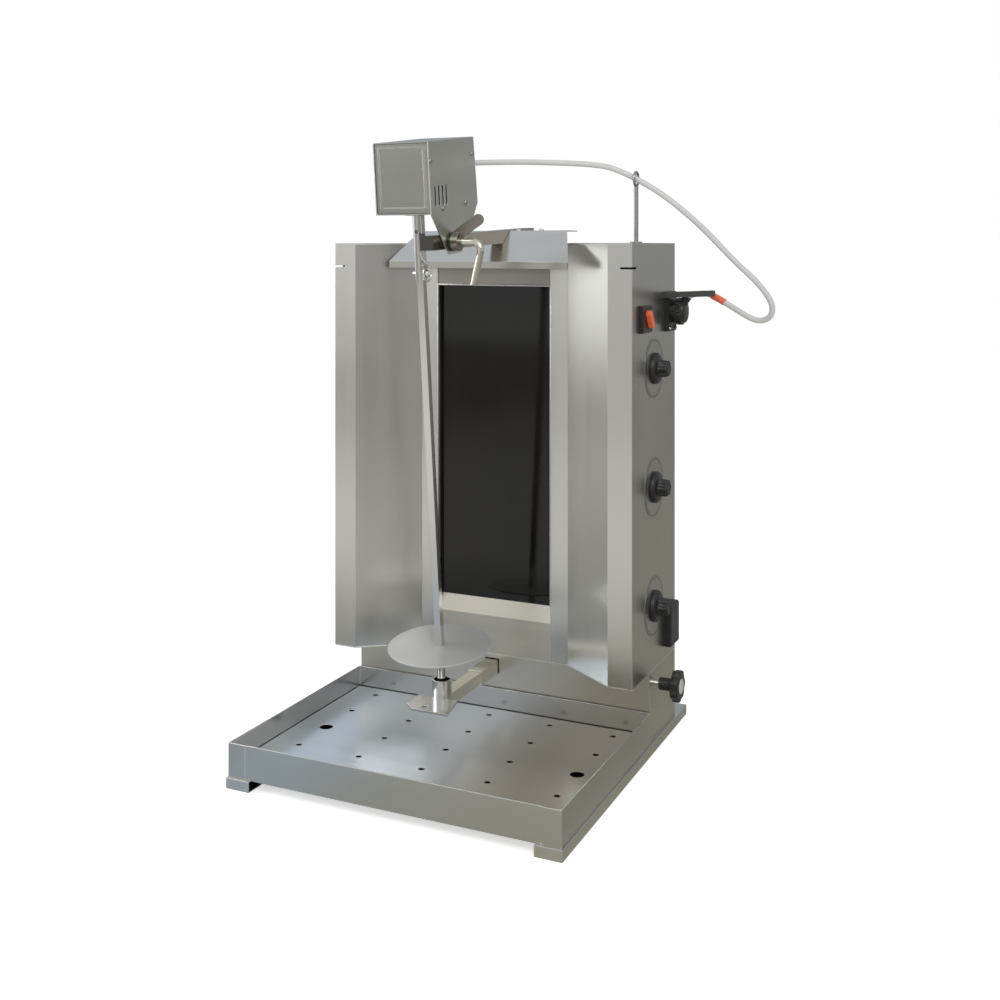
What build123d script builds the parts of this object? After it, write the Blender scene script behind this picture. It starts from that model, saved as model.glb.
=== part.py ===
"""Electric doner kebab grill, in millimetres.

The working frame has X = 0 on the middle plane of the cabinet with +X on the control side, Y = 0 on the
front of the wings with +Y to the back, and Z = 0 on the floor. Each piece is written in a frame moved so
that the middle of the grill's footprint, without the loose motor cable, is at the origin.
"""
import os
from math import cos, pi, radians, sin, tan

from build123d import *

os.makedirs("parts", exist_ok=True)

# Stock, fits and cutters
sheet = 1.5               # stainless sheet of the cabinet, rails and head
thin_sheet = 1.2          # sheet of the drip tray and drip plate
fit = 0.3                 # gap between pieces that move past each other
shaft_fit = 0.08          # radial gap of a shaft or pin in its bore
overrun = 5               # how far a cutter runs past what it cuts

# Base rails
rail_width = 38
rail_height = 15
rail_length = 536
rail_reach = 276          # rails ahead of the front of the wings
rail_proud = 4            # rails outside the sides of the cabinet

# Pedestal and cabinet
pedestal_height = 105
pedestal_setback = 80     # front of the pedestal behind the front of the wings
body_width = 496
body_depth = 209
case_height = 639.2
strip_width = 37          # flat front strip beside each wing
frame_width = 250         # window frame across, wing to wing
frame_setback = 62        # window frame behind the front of the wings
slit_height = 3           # slits at the upper front corners
slit_front = 18
slit_side = 22
slit_drop = 36.5          # slits below the top of the cabinet
louvre_length = 90        # vents in the back
louvre_height = 6
louvre_pitch = 18
louvre_rows = 7
louvre_columns = 3
louvre_spread = 130       # vent columns, centre to centre
louvre_drop = 120         # middle of the vents below the top of the cabinet

# Window and heaters
window_width = 193
window_height = 490
lower_panel_height = 60
sill_height = 24
glass_recess = 10         # glass behind the window frame
glass_thickness = 4
glass_margin = 12         # glass and header hidden behind each strip
glass_lap = 10            # glass hidden behind the header
heater_depth = 52         # heater tray, front to back
heater_rod = 8
heater_bend = 14          # bend radius of the heater rods
heater_run = 150          # straight reach of a heater across the tray
heater_step = 38          # rise from one run to the next
heater_pitch = 160        # zone to zone
heater_setback = 24       # heater rods behind the glass

# Visor over the window
visor_lip_height = 10.5
visor_lip_width = 298
visor_top_width = 252
visor_slope_depth = 57
visor_slope_rise = 47.2
visor_flange = 43
visor_lip_drop = 38.5     # bottom of the lip below the top of the cabinet
visor_leg_width = 160     # fold at the back that stands on the cabinet
visor_arm_gap = 0.4       # gap round the arm in the visor

# Spit and its head
spit_x = -10              # spit, head and lower arm left of the middle plane
spit_lean = 6             # degrees that the spit leans forward at the top
head_setback = -162.2     # spit axis at the underside of the head, from the front of the wings
head_level = 801          # underside of the head at the spit axis, above the floor
head_width = 86
head_front = 42           # front of the head ahead of the spit axis
head_back = 98
head_height = 99
head_rise = 3             # the top of the head rises by this to the back
panel_inset = 1.5         # front panel behind the edges of the head
bead_margin = 5           # raised bead on the front panel
bead_width = 3
bead_height = 1
plate_overhang = 5        # right plate past the back of the head
heel_height = 7           # corners of the right plate's lower lobe
heel_drop = 15
heel_step = 17
tip_front = 10
tip_back = 30
tip_drop = 17
tip_radius = 9
pivot_back = 13.6         # pivot behind the spit axis and below the head
pivot_drop = 42
slot_count = 4            # vent slots of the right plate
slot_width = 4.5
slot_length = 28.5
slot_pitch = 11
slot_middle = -11         # middle of the slots behind the spit axis
slot_level = 24.7
head_screw_head = 7
head_screw_height = 2.2
screw_shares = ((-0.88, 0.73), (0.93, 0.78), (-0.17, 0.06), (0.65, 0.09))
gearbox_width = 62
gearbox_front = 30
gearbox_back = 42
gearbox_height = 30
motor_diameter = 54
motor_length = 52
motor_setback = 8
bearing_flange = 40       # flange of the bearing under the head
bearing_flange_height = 2.5

# Coupling, spit and retaining pin
coupling_diameter = 17
coupling_length = 94
coupling_neck = 12        # drive shaft in the gearbox
coupling_neck_length = 20
coupling_hole = 6
coupling_hole_drop = 26   # cross hole below the head
coupling_hole_turn = 45   # degrees round the coupling
bar = 10                  # square spit bar
bar_socket_depth = 62     # bar inside the coupling
bar_fit = 0.2
disc_diameter = 150
disc_thickness = 2.5
disc_drop = 624           # disc below the head, along the spit
hub_diameter = 22
hub_height = 10
foot_diameter = 12        # round foot of the spit in its cup
foot_length = 62
foot_edge = 2             # chamfer of the foot
spit_drop = 704           # foot of the spit below the head, along the spit
pin_diameter = 6
pin_rise = 9              # pin above the lower end of the coupling
pin_tip = 5               # pin past the coupling on the left
pin_shoulder = 10
pin_shoulder_length = 4
pin_eye = 2               # pin past its shoulder, up to the ring
ring_radius = 10.4
ring_wire = 2.5
clip_wire = 2.2
clip_bends = ((-6.9, -1.4, 20.5), (-8.8, -2.9, 30))  # spring leg, from the middle of the ring
clip_bend = 6

# Upper arm, its saddle, the pivot bolt and the clamp lever
arm = 20
arm_wall = 2
arm_pitch = 2.6           # degrees that the arm rises to the back
arm_nose = 52             # arm ahead of the pivot
saddle_gap = 7.3          # saddle behind the visor
saddle_cheek = 5
saddle_length = 44
saddle_height = 15
pivot_diameter = 10
nut_across = 17
nut_height = 7
handle_out = 48           # bent handle outside the head plate
handle_drop = 60
handle_lean = 14
handle_bend = 12
lever_hub = 25
lever_hub_length = 13.5
blade_width = 15.5
blade_thickness = 3
blade_length = 33
blade_rise = 33           # degrees that the blade rises outwards
blade_root = 9            # blade inside the hub

# Lower arm and its clamp
lower_arm_level = 96
sleeve = 22
sleeve_front = 18         # front of the sleeve behind the front of the wings
sleeve_past = 3           # sleeve past the back of the pedestal
sleeve_gap = 1.2          # gap round the sleeve in the pedestal front
stand_width = 40
lower_arm = 18
lower_arm_wall = 2
lower_arm_tail = 18       # lower arm past the back of the pedestal
cup_diameter = 28
cup_bore = 24
cup_height = 42
cup_floor = 3
cup_hold = 29             # height in the cup where it holds the foot
pull_tab_thickness = 3
pull_tab_level = 106      # top of the tab
pull_tab_left = 31
pull_tab_right = 42       # at the front; the right edge slants
pull_tab_back_right = 31
pull_tab_front = 65       # from the middle of the cup
pull_tab_back = 12.5
pull_tab_chamfer = 16
pull_tab_hole = 10
pull_tab_hole_reach = 52.5
clamp_screw_diameter = 8
clamp_setback = 103       # clamp screw behind the front of the wings
clamp_level = 100
clamp_gap = 8.8           # screw in sight between the pedestal and the star knob
star_diameter = 48
star_height = 13
star_lobes = 7
star_scallop = 7
star_boss = 18.5
star_boss_height = 20
star_cap = 22
star_cap_height = 1.5

# Drip tray and plate
tray_width = 500
tray_gap = 2              # tray ahead of the pedestal
tray_height = 48
tray_setback = 4          # tray behind the front of the rails
tray_tab = 28             # folded corner tabs on the front of the tray
drip_plate_height = 15
drip_plate_gap = 1.5      # gap to the walls of the tray
drip_plate_back_gap = 3
drain_hole = 9
finger_hole = 20
drain_rows = 5
drain_columns = 5
drain_margin_x = 45.3     # outer holes from the edges of the plate
drain_margin_y = 25.55

# Controls on the right side panel
knob_setback = 102
knob_low_level = 215.3
knob_pitch = 178
dial_diameter = 90
dial_thickness = 0.8
knob_skirt = 47
knob_skirt_height = 7.5
knob_grip = 28
knob_grip_height = 15
knob_flutes = 6
knob_flute = 6
knob_pointer_width = 4
knob_pointer_height = 1
knob_edge = 2
regulator_size = 44
regulator_depth = 32
regulator_shaft = 6
regulator_shaft_depth = 15
switch_setback = 52
switch_gap = 11.2         # switch above the top dial
switch_width = 44
switch_height = 40
switch_depth = 7
switch_lever_length = 30
switch_lever_width = 10
switch_lever_height = 7
switch_lever_lean = 124   # degrees from level
switch_spindle = 8
switch_spindle_depth = 5
socket_setback = 172
socket_level = 654
socket_width = 40
socket_height = 61
socket_thickness = 7.6
socket_barrel = 36
socket_barrel_depth = 6
socket_screw = 5
socket_screw_height = 1.5
socket_screw_margin = 6
plug_diameter = 42
plug_length = 16
plug_edge = 3
plug_boss = 13
cable_bar_setback = 148
cable_bar_level = 679.5
cable_bar_length = 81
cable_bar_height = 9
cable_bar_thickness = 6
cable_bar_rise = 2.8      # degrees
cable_bar_foot = 43       # foot ahead of the bar, along the panel
cable_bar_foot_thickness = 3
cable_bar_bolt = 7
cable_bar_bolt_height = 2
cable_bar_bolt_inset = 10
cable_bar_tip_radius = 2.6
inlet_setback = 172
inlet_level = 171
inlet_width = 44
inlet_height = 64
inlet_depth = 12
inlet_corner = 4

# Motor cable, its gland, hook and sleeve
cable_diameter = 8.5
gland_x = 10              # gland right of the spit axis
gland_level = 62.5        # gland above the underside of the head
gland_nut = 18
gland_nut_height = 6
gland_tip = 11
gland_length = 24
cable_exit_run = 30
cable_arc_share = 0.45    # of the shorter run beside a bend
hook_x = 234
hook_setback = 60
hook_rod = 6.5
hook_foot = 18
hook_foot_height = 2
hook_eye_radius = 10
hook_eye_wire = 4
hook_eye_level = 853.5
cable_sleeve_diameter = 11
cable_sleeve_shares = (0.47, 0.79)

# Screws of the cabinet
screw_head = 9
screw_head_height = 3
visor_screws = (36.5, 74)
visor_screw_setback = 21  # screws ahead of the back edge of the visor's flange
back_screw_margin = 14
back_screw_rows = 4

# Levels and places that follow from these sizes
half_body = body_width / 2
half_frame = frame_width / 2
half_window = window_width / 2
rail_outer = half_body + rail_proud
rail_front = -rail_reach
rail_back = rail_front + rail_length
case_bottom = rail_height + pedestal_height
case_top_level = case_bottom + case_height
wall_bottom = case_bottom + sheet
wall_top = case_top_level - sheet
sill_bottom = case_bottom + lower_panel_height
sill_top = sill_bottom + sill_height
window_top = sill_top + window_height
header_front = frame_setback + sheet
glass_front = frame_setback + glass_recess
glass_back = glass_front + glass_thickness
slit_level = case_top_level - slit_drop
visor_lip_low = case_top_level - visor_lip_drop
visor_top = visor_lip_low + visor_lip_height + visor_slope_rise
visor_back = visor_slope_depth + visor_flange
lean_sin = sin(radians(spit_lean))
lean_cos = cos(radians(spit_lean))
head_right = spit_x + head_width / 2
head_left = spit_x - head_width / 2
pivot_y = head_setback + pivot_back * lean_cos + pivot_drop * lean_sin
pivot_z = head_level + pivot_back * lean_sin - pivot_drop * lean_cos
arm_x = head_right - sheet - fit - arm / 2
saddle_front = visor_back + saddle_gap
saddle_back = saddle_front + saddle_length
arm_tail = (saddle_back - pivot_y) / cos(radians(arm_pitch))
cup_level = lower_arm_level - lower_arm / 2
cup_middle = cup_level + cup_hold
cup_y = head_setback + (head_level - cup_middle) * tan(radians(spit_lean))
sleeve_back = body_depth + sleeve_past
tray_front = rail_front + tray_setback
tray_back = pedestal_setback - tray_gap
tray_floor = rail_height + thin_sheet
panel_face = half_body + dial_thickness
knob_levels = {
    "bottom": knob_low_level,
    "middle": knob_low_level + knob_pitch,
    "top": knob_low_level + 2 * knob_pitch,
}
switch_level = knob_levels["top"] + dial_diameter / 2 + switch_gap + switch_height / 2
bar_direction = (cos(radians(cable_bar_rise)), 0, sin(radians(cable_bar_rise)))
cable_bar_tip = half_body + cable_bar_length

# One move puts the middle of the footprint at the origin
centring = Location(((rail_outer - cable_bar_tip) / 2, -(rail_front + rail_back) / 2, 0))

# Planes of the tilted head, the arm and the right side
head_plane = Plane(
    origin=(spit_x, head_setback, head_level), x_dir=(1, 0, 0), z_dir=(0, -lean_sin, lean_cos)
)
arm_plane = Plane(
    origin=(arm_x, pivot_y, pivot_z),
    x_dir=(1, 0, 0),
    z_dir=(0, cos(radians(arm_pitch)), sin(radians(arm_pitch))),
)


def head_side(x):
    """Plane across X whose own axes run back and up along the tilted head."""
    return Plane(
        origin=(x, head_setback, head_level), x_dir=(0, lean_cos, lean_sin), z_dir=(1, 0, 0)
    )


def facing_right(x, y, z):
    """Plane that faces +X, with its own axes along Y and Z."""
    return Plane(origin=(x, y, z), x_dir=(0, 1, 0), z_dir=(1, 0, 0))


def block(corner, opposite, mode=Mode.ADD):
    """Add or cut the box between two opposite corners."""
    low = tuple(min(pair) for pair in zip(corner, opposite))
    size = [abs(a - b) for a, b in zip(corner, opposite)]
    with Locations(low):
        Box(*size, align=(Align.MIN, Align.MIN, Align.MIN), mode=mode)


def rod(plane, radius, length, mode=Mode.ADD):
    """Add or cut a cylinder that starts on a plane and runs along its normal."""
    with Locations(plane):
        Cylinder(radius, length, align=(Align.CENTER, Align.CENTER, Align.MIN), mode=mode)


def write(piece, name):
    """Label a finished piece and write it in the frame of the whole grill."""
    piece.part.label = name
    placed = piece.part.moved(centring)
    placed.label = name
    export_step(placed, f"parts/{name}.step")


# Base rails: folded channels, open towards the middle
for side, name in ((-1, "base_rail_left"), (1, "base_rail_right")):
    outside = side * rail_outer
    inside = side * (rail_outer - rail_width)
    with BuildPart() as base_rail:
        block((outside, rail_front, 0), (inside, rail_back, rail_height))
        block(
            (outside - side * sheet, rail_front + sheet, sheet),
            (inside - side * overrun, rail_back - sheet, rail_height - sheet),
            mode=Mode.SUBTRACT,
        )
    write(base_rail, name)

# Pedestal: four walls folded from one sheet, with holes for the sleeve and the clamp screw
sleeve_hole = sleeve / 2 + sleeve_gap
with BuildPart() as pedestal_shell:
    block((-half_body, pedestal_setback, rail_height), (half_body, body_depth, case_bottom))
    block(
        (-half_body + sheet, pedestal_setback + sheet, rail_height - overrun),
        (half_body - sheet, body_depth - sheet, case_bottom + overrun),
        mode=Mode.SUBTRACT,
    )
    block(
        (spit_x - sleeve_hole, pedestal_setback - overrun, lower_arm_level - sleeve_hole),
        (spit_x + sleeve_hole, pedestal_setback + overrun, lower_arm_level + sleeve_hole),
        mode=Mode.SUBTRACT,
    )
    block(
        (spit_x - sleeve / 2, body_depth - overrun, lower_arm_level - sleeve / 2),
        (spit_x + sleeve / 2, body_depth + overrun, lower_arm_level + sleeve / 2),
        mode=Mode.SUBTRACT,
    )
    rod(
        facing_right(half_body - overrun, clamp_setback, clamp_level),
        clamp_screw_diameter / 2 + shaft_fit,
        2 * overrun,
        mode=Mode.SUBTRACT,
    )
write(pedestal_shell, "pedestal_shell")

# Pedestal floor: plate that ties the two rails together
with BuildPart() as pedestal_floor:
    block(
        (-half_body + sheet, pedestal_setback + sheet, rail_height),
        (half_body - sheet, body_depth - sheet, rail_height + sheet),
    )
write(pedestal_floor, "pedestal_floor")

# Sleeve of the lower arm: square tube through the pedestal, with a hole for the clamp screw
sleeve_bore = lower_arm / 2 + fit
with BuildPart() as lower_arm_sleeve:
    block(
        (spit_x - sleeve / 2, sleeve_front, lower_arm_level - sleeve / 2),
        (spit_x + sleeve / 2, sleeve_back, lower_arm_level + sleeve / 2),
    )
    block(
        (spit_x - sleeve_bore, sleeve_front - overrun, lower_arm_level - sleeve_bore),
        (spit_x + sleeve_bore, sleeve_back + overrun, lower_arm_level + sleeve_bore),
        mode=Mode.SUBTRACT,
    )
    rod(
        facing_right(spit_x, clamp_setback, clamp_level),
        clamp_screw_diameter / 2 + shaft_fit,
        sleeve,
        mode=Mode.SUBTRACT,
    )
write(lower_arm_sleeve, "lower_arm_sleeve")

# Stand of the sleeve: folded bridge on the pedestal floor
with BuildPart() as sleeve_stand:
    block(
        (spit_x - stand_width / 2, pedestal_setback + sheet, rail_height + sheet),
        (spit_x + stand_width / 2, body_depth - sheet, lower_arm_level - sleeve / 2),
    )
    block(
        (spit_x - stand_width / 2 + sheet, pedestal_setback - overrun, rail_height - overrun),
        (spit_x + stand_width / 2 - sheet, body_depth + overrun, lower_arm_level - sleeve / 2 - sheet),
        mode=Mode.SUBTRACT,
    )
write(sleeve_stand, "sleeve_stand")

# Floor and top of the cabinet: plates with the outline of the wings
case_outline = [
    (-half_body, 0),
    (-half_body + strip_width, 0),
    (-half_frame, frame_setback),
    (half_frame, frame_setback),
    (half_body - strip_width, 0),
    (half_body, 0),
    (half_body, body_depth),
    (-half_body, body_depth),
]
for name, level in (("case_floor", case_bottom), ("case_top", wall_top)):
    with BuildPart() as case_plate:
        with BuildSketch(Plane.XY.offset(level)):
            with BuildLine():
                Polyline(*case_outline, close=True)
            make_face()
        extrude(amount=sheet)
    write(case_plate, name)

# Back of the cabinet, with three columns of vents
with BuildPart() as case_back:
    block(
        (-half_body + sheet, body_depth - sheet, wall_bottom), (half_body - sheet, body_depth, wall_top)
    )
    louvre_middle = (0, body_depth, case_top_level - louvre_drop)
    with Locations(Plane(origin=louvre_middle, x_dir=(1, 0, 0), z_dir=(0, -1, 0))):
        with GridLocations(louvre_spread, louvre_pitch, louvre_columns, louvre_rows):
            Box(louvre_length, louvre_height, 2 * overrun, mode=Mode.SUBTRACT)
write(case_back, "case_back")

# Side panels: behind the front strips, with a slit at the upper front corner
shaft_hole = regulator_shaft / 2 + fit
for side, name in ((-1, "side_panel_left"), (1, "side_panel_right")):
    with BuildPart() as side_panel:
        block((side * (half_body - sheet), sheet, wall_bottom), (side * half_body, body_depth, wall_top))
        block(
            (side * (half_body - overrun), -overrun, slit_level - slit_height / 2),
            (side * (half_body + overrun), slit_side, slit_level + slit_height / 2),
            mode=Mode.SUBTRACT,
        )
        if side > 0:
            for level in knob_levels.values():
                rod(
                    facing_right(half_body - overrun, knob_setback, level),
                    shaft_hole,
                    2 * overrun,
                    mode=Mode.SUBTRACT,
                )
    write(side_panel, name)

# Wings: front strip and flared reflector, folded from one sheet, with the slit of the corner
for side, name in ((-1, "wing_left"), (1, "wing_right")):
    with BuildPart() as wing:
        with BuildSketch(Plane.XY.offset(wall_bottom)):
            with BuildLine():
                Polyline(
                    (side * half_body, 0),
                    (side * (half_body - strip_width), 0),
                    (side * half_frame, frame_setback),
                )
                offset(amount=sheet, side=Side.RIGHT if side > 0 else Side.LEFT)
            make_face()
        extrude(amount=wall_top - wall_bottom)
        block(
            (side * (half_body - slit_front), -overrun, slit_level - slit_height / 2),
            (side * (half_body + overrun), overrun, slit_level + slit_height / 2),
            mode=Mode.SUBTRACT,
        )
    write(wing, name)

# Window frame: two upright strips, a header folded back to the glass, and a lower panel with a sloped sill
for side, name in ((-1, "frame_strip_left"), (1, "frame_strip_right")):
    with BuildPart() as frame_strip:
        block(
            (side * half_window, frame_setback, wall_bottom),
            (side * half_frame, frame_setback + sheet, wall_top),
        )
    write(frame_strip, name)

with BuildPart() as header_panel:
    with BuildSketch(Plane.YZ):
        with BuildLine():
            Polyline((glass_front, window_top), (header_front, window_top), (header_front, wall_top))
            offset(amount=sheet, side=Side.RIGHT)
        make_face()
    extrude(amount=half_window + glass_margin, both=True)
write(header_panel, "header_panel")

with BuildPart() as lower_panel:
    with BuildSketch(Plane.YZ):
        with BuildLine():
            Polyline(
                (frame_setback, wall_bottom),
                (frame_setback, sill_bottom),
                (glass_front, sill_top),
                (glass_back, sill_top),
            )
            offset(amount=sheet, side=Side.RIGHT)
        make_face()
    extrude(amount=half_window, both=True)
write(lower_panel, "lower_panel")

# Glass: stands on the sill behind the header
half_glass = half_window + glass_margin
glass_top = window_top + glass_lap
with BuildPart() as heat_glass:
    block((-half_glass, glass_front, sill_top), (half_glass, glass_back, glass_top))
write(heat_glass, "heat_glass")

# Heater tray: reflector box that closes the window from behind
tray_wall = glass_back + heater_depth
with BuildPart() as heater_tray:
    block((-half_glass, glass_back, sill_top), (half_glass, tray_wall, glass_top))
    block(
        (-half_glass + sheet, glass_back - overrun, sill_top + sheet),
        (half_glass - sheet, tray_wall - sheet, glass_top - sheet),
        mode=Mode.SUBTRACT,
    )
write(heater_tray, "heater_tray")

# Heaters: one bent rod for each zone, with both ends on the back of the heater tray
heater_wall = tray_wall - sheet
heater_y = glass_back + heater_setback
window_middle = sill_top + window_height / 2
for name, zone in (("heater_bottom", -1), ("heater_middle", 0), ("heater_top", 1)):
    low = window_middle + zone * heater_pitch - heater_step
    left = -heater_run / 2
    right = heater_run / 2
    with BuildPart() as heater:
        with BuildLine() as heater_path:
            FilletPolyline(
                (left, heater_wall, low),
                (left, heater_y, low),
                (right, heater_y, low),
                (right, heater_y, low + heater_step),
                (left, heater_y, low + heater_step),
                (left, heater_y, low + 2 * heater_step),
                (right, heater_y, low + 2 * heater_step),
                (right, heater_wall, low + 2 * heater_step),
                radius=heater_bend,
            )
        with BuildSketch(Plane(origin=heater_path.line @ 0, z_dir=heater_path.line % 0)):
            Circle(heater_rod / 2)
        sweep()
    write(heater, name)

# Visor: lip, slope and flange folded from one sheet, with a fold behind that stands on the cabinet
with BuildPart() as hood_visor:
    with BuildSketch(Plane.YZ):
        with BuildLine():
            Polyline(
                (0, visor_lip_low),
                (0, visor_lip_low + visor_lip_height),
                (visor_slope_depth, visor_top),
                (visor_back, visor_top),
            )
            offset(amount=sheet, side=Side.RIGHT)
        make_face()
    extrude(amount=visor_lip_width / 2, both=True)
    with BuildSketch(Plane.XY.offset(visor_lip_low - overrun)):
        with BuildLine():
            Polyline(
                (-visor_lip_width / 2, -overrun),
                (visor_lip_width / 2, -overrun),
                (visor_lip_width / 2, sheet),
                (visor_top_width / 2, visor_slope_depth),
                (visor_top_width / 2, visor_back + overrun),
                (-visor_top_width / 2, visor_back + overrun),
                (-visor_top_width / 2, visor_slope_depth),
                (-visor_lip_width / 2, sheet),
                close=True,
            )
        make_face()
    extrude(amount=visor_top - visor_lip_low + 2 * overrun, mode=Mode.INTERSECT)
    block(
        (-visor_leg_width / 2, visor_back - sheet, case_top_level),
        (visor_leg_width / 2, visor_back, visor_top - sheet),
    )
    arm_hole = arm + 2 * visor_arm_gap
    with Locations(arm_plane):
        Box(
            arm_hole,
            arm_hole,
            arm_tail,
            align=(Align.CENTER, Align.CENTER, Align.MIN),
            mode=Mode.SUBTRACT,
        )
write(hood_visor, "hood_visor")

# Upper arm: square tube with a closed nose and a hole for the pivot bolt
with BuildPart() as upper_arm:
    with BuildSketch(arm_plane.offset(-arm_nose)):
        Rectangle(arm, arm)
    extrude(amount=arm_nose + arm_tail)
    with BuildSketch(arm_plane.offset(arm_wall - arm_nose)):
        Rectangle(arm - 2 * arm_wall, arm - 2 * arm_wall)
    extrude(amount=arm_nose + arm_tail, mode=Mode.SUBTRACT)
    rod(
        facing_right(arm_x - arm, pivot_y, pivot_z),
        pivot_diameter / 2 + shaft_fit,
        2 * arm,
        mode=Mode.SUBTRACT,
    )
write(upper_arm, "upper_arm")

# Saddle: block with a channel that holds the arm on the cabinet
saddle_half = arm / 2 + saddle_cheek
with BuildPart() as arm_saddle:
    block(
        (arm_x - saddle_half, saddle_front, case_top_level),
        (arm_x + saddle_half, saddle_back, case_top_level + saddle_height),
    )
    with Locations(arm_plane):
        Box(
            arm,
            arm,
            arm_tail + overrun,
            align=(Align.CENTER, Align.CENTER, Align.MIN),
            mode=Mode.SUBTRACT,
        )
write(arm_saddle, "arm_saddle")

# Pivot bolt: rod with a nut on the left of the arm, bent down into a handle on the right
nut_right = arm_x - arm / 2
handle_x = head_right + handle_out
with BuildPart() as pivot_bolt:
    with BuildLine() as bolt_path:
        FilletPolyline(
            (nut_right - nut_height, pivot_y, pivot_z),
            (handle_x, pivot_y, pivot_z),
            (handle_x - handle_lean, pivot_y, pivot_z - handle_drop),
            radius=handle_bend,
        )
    with BuildSketch(Plane(origin=bolt_path.line @ 0, z_dir=bolt_path.line % 0)):
        Circle(pivot_diameter / 2)
    sweep()
    with BuildSketch(facing_right(nut_right - nut_height, pivot_y, pivot_z)):
        RegularPolygon(nut_across / 2, side_count=6, major_radius=False)
    extrude(amount=nut_height)
write(pivot_bolt, "pivot_bolt")

# Clamp lever: hub on the pivot bolt, with one upright blade that rises outwards
hub_inner = head_right + fit
hub_outer = hub_inner + lever_hub_length
blade_out = cos(radians(blade_rise))
blade_up = sin(radians(blade_rise))
blade_plane = Plane(
    origin=(hub_outer - blade_root * blade_out, pivot_y, pivot_z + lever_hub / 2 - blade_root * blade_up),
    x_dir=(blade_up, 0, -blade_out),
    z_dir=(0, -1, 0),
)
with BuildPart() as clamp_lever:
    rod(facing_right(hub_inner, pivot_y, pivot_z), lever_hub / 2, lever_hub_length)
    with BuildSketch(blade_plane.offset(-blade_thickness / 2)):
        Rectangle(blade_width, blade_root + blade_length, align=(Align.CENTER, Align.MIN))
        with Locations((0, blade_root + blade_length)):
            Circle(blade_width / 2)
    extrude(amount=blade_thickness)
    rod(
        facing_right(hub_inner - overrun, pivot_y, pivot_z),
        pivot_diameter / 2 + shaft_fit,
        lever_hub_length + 2 * overrun,
        mode=Mode.SUBTRACT,
    )
write(clamp_lever, "clamp_lever")

# Cable hook: wire post on the cabinet with an eye for the motor cable
hook_post = hook_eye_level - hook_eye_radius - case_top_level
with BuildPart() as cable_hook:
    with Locations((hook_x, hook_setback, case_top_level)):
        Cylinder(hook_foot / 2, hook_foot_height, align=(Align.CENTER, Align.CENTER, Align.MIN))
        Cylinder(hook_rod / 2, hook_post, align=(Align.CENTER, Align.CENTER, Align.MIN))
    with Locations(facing_right(hook_x, hook_setback, hook_eye_level)):
        Torus(hook_eye_radius, hook_eye_wire / 2)
write(cable_hook, "cable_hook")

# Head: folded shell, open to the front and at both sides, with the flange of the bearing under it
half_head = head_width / 2
coupling_radius = coupling_diameter / 2
with BuildPart() as head_shell:
    with BuildSketch(head_side(head_left + sheet)):
        with BuildLine():
            Polyline(
                (-head_front, 0),
                (head_back, 0),
                (head_back, head_height + head_rise),
                (-head_front, head_height),
            )
            offset(amount=sheet, side=Side.LEFT)
        make_face()
    extrude(amount=head_width - 2 * sheet)
    rod(head_plane.offset(-bearing_flange_height), bearing_flange / 2, bearing_flange_height)
    rod(head_plane.offset(-overrun), coupling_radius + fit, 2 * overrun, mode=Mode.SUBTRACT)
write(head_shell, "head_shell")

# Left plate of the head
with BuildPart() as head_side_left:
    with BuildSketch(head_side(head_left)):
        with BuildLine():
            Polyline(
                (-head_front, 0),
                (head_back, 0),
                (head_back, head_height + head_rise),
                (-head_front, head_height),
                close=True,
            )
        make_face()
    extrude(amount=sheet)
write(head_side_left, "head_side_left")

# Right plate of the head: reaches down to the pivot, with four vent slots
with BuildPart() as head_side_right:
    with BuildSketch(head_side(head_right - sheet)) as right_plate:
        with BuildLine():
            Polyline(
                (-head_front, 0),
                (-head_front, head_height),
                (head_back, head_height + head_rise),
                (head_back + plate_overhang, heel_height),
                (head_back + plate_overhang - heel_step, -heel_drop),
                (pivot_back + tip_back, -pivot_drop - tip_drop),
                (pivot_back - tip_front, -pivot_drop - tip_drop),
                close=True,
            )
        make_face()
        fillet(right_plate.vertices().group_by(Axis.Y)[0], tip_radius)
        with Locations((slot_middle, slot_level)):
            with GridLocations(slot_pitch, 0, slot_count, 1):
                SlotOverall(slot_length, slot_width, rotation=90, mode=Mode.SUBTRACT)
        with Locations((pivot_back, -pivot_drop)):
            Circle(pivot_diameter / 2 + shaft_fit, mode=Mode.SUBTRACT)
    extrude(amount=sheet)
write(head_side_right, "head_side_right")

# Front panel of the head, with a raised bead
panel_half = half_head - sheet - fit
panel_low = sheet + fit
panel_high = head_height - sheet - fit
bead_front = -head_front + panel_inset - bead_height
with BuildPart(head_plane) as head_front_panel:
    block(
        (-panel_half, -head_front + panel_inset, panel_low),
        (panel_half, -head_front + panel_inset + sheet, panel_high),
    )
    block(
        (-panel_half + bead_margin, bead_front, panel_low + bead_margin),
        (panel_half - bead_margin, -head_front + panel_inset, panel_high - bead_margin),
    )
    bead_inside = bead_margin + bead_width
    block(
        (-panel_half + bead_inside, bead_front, panel_low + bead_inside),
        (panel_half - bead_inside, -head_front + panel_inset, panel_high - bead_inside),
        mode=Mode.SUBTRACT,
    )
write(head_front_panel, "head_front_panel")

# Gear motor: gearbox on the floor of the head, with the motor on top and a bore for the drive shaft
with BuildPart(head_plane) as gear_motor:
    gearbox_top = sheet + gearbox_height
    block(
        (-gearbox_width / 2, -gearbox_front, sheet), (gearbox_width / 2, gearbox_back, gearbox_top)
    )
    with Locations((0, motor_setback, gearbox_top)):
        Cylinder(motor_diameter / 2, motor_length, align=(Align.CENTER, Align.CENTER, Align.MIN))
    with Locations((0, 0, sheet)):
        Cylinder(
            coupling_neck / 2 + shaft_fit,
            coupling_neck_length + fit,
            align=(Align.CENTER, Align.CENTER, Align.MIN),
            mode=Mode.SUBTRACT,
        )
write(gear_motor, "gear_motor")

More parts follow.
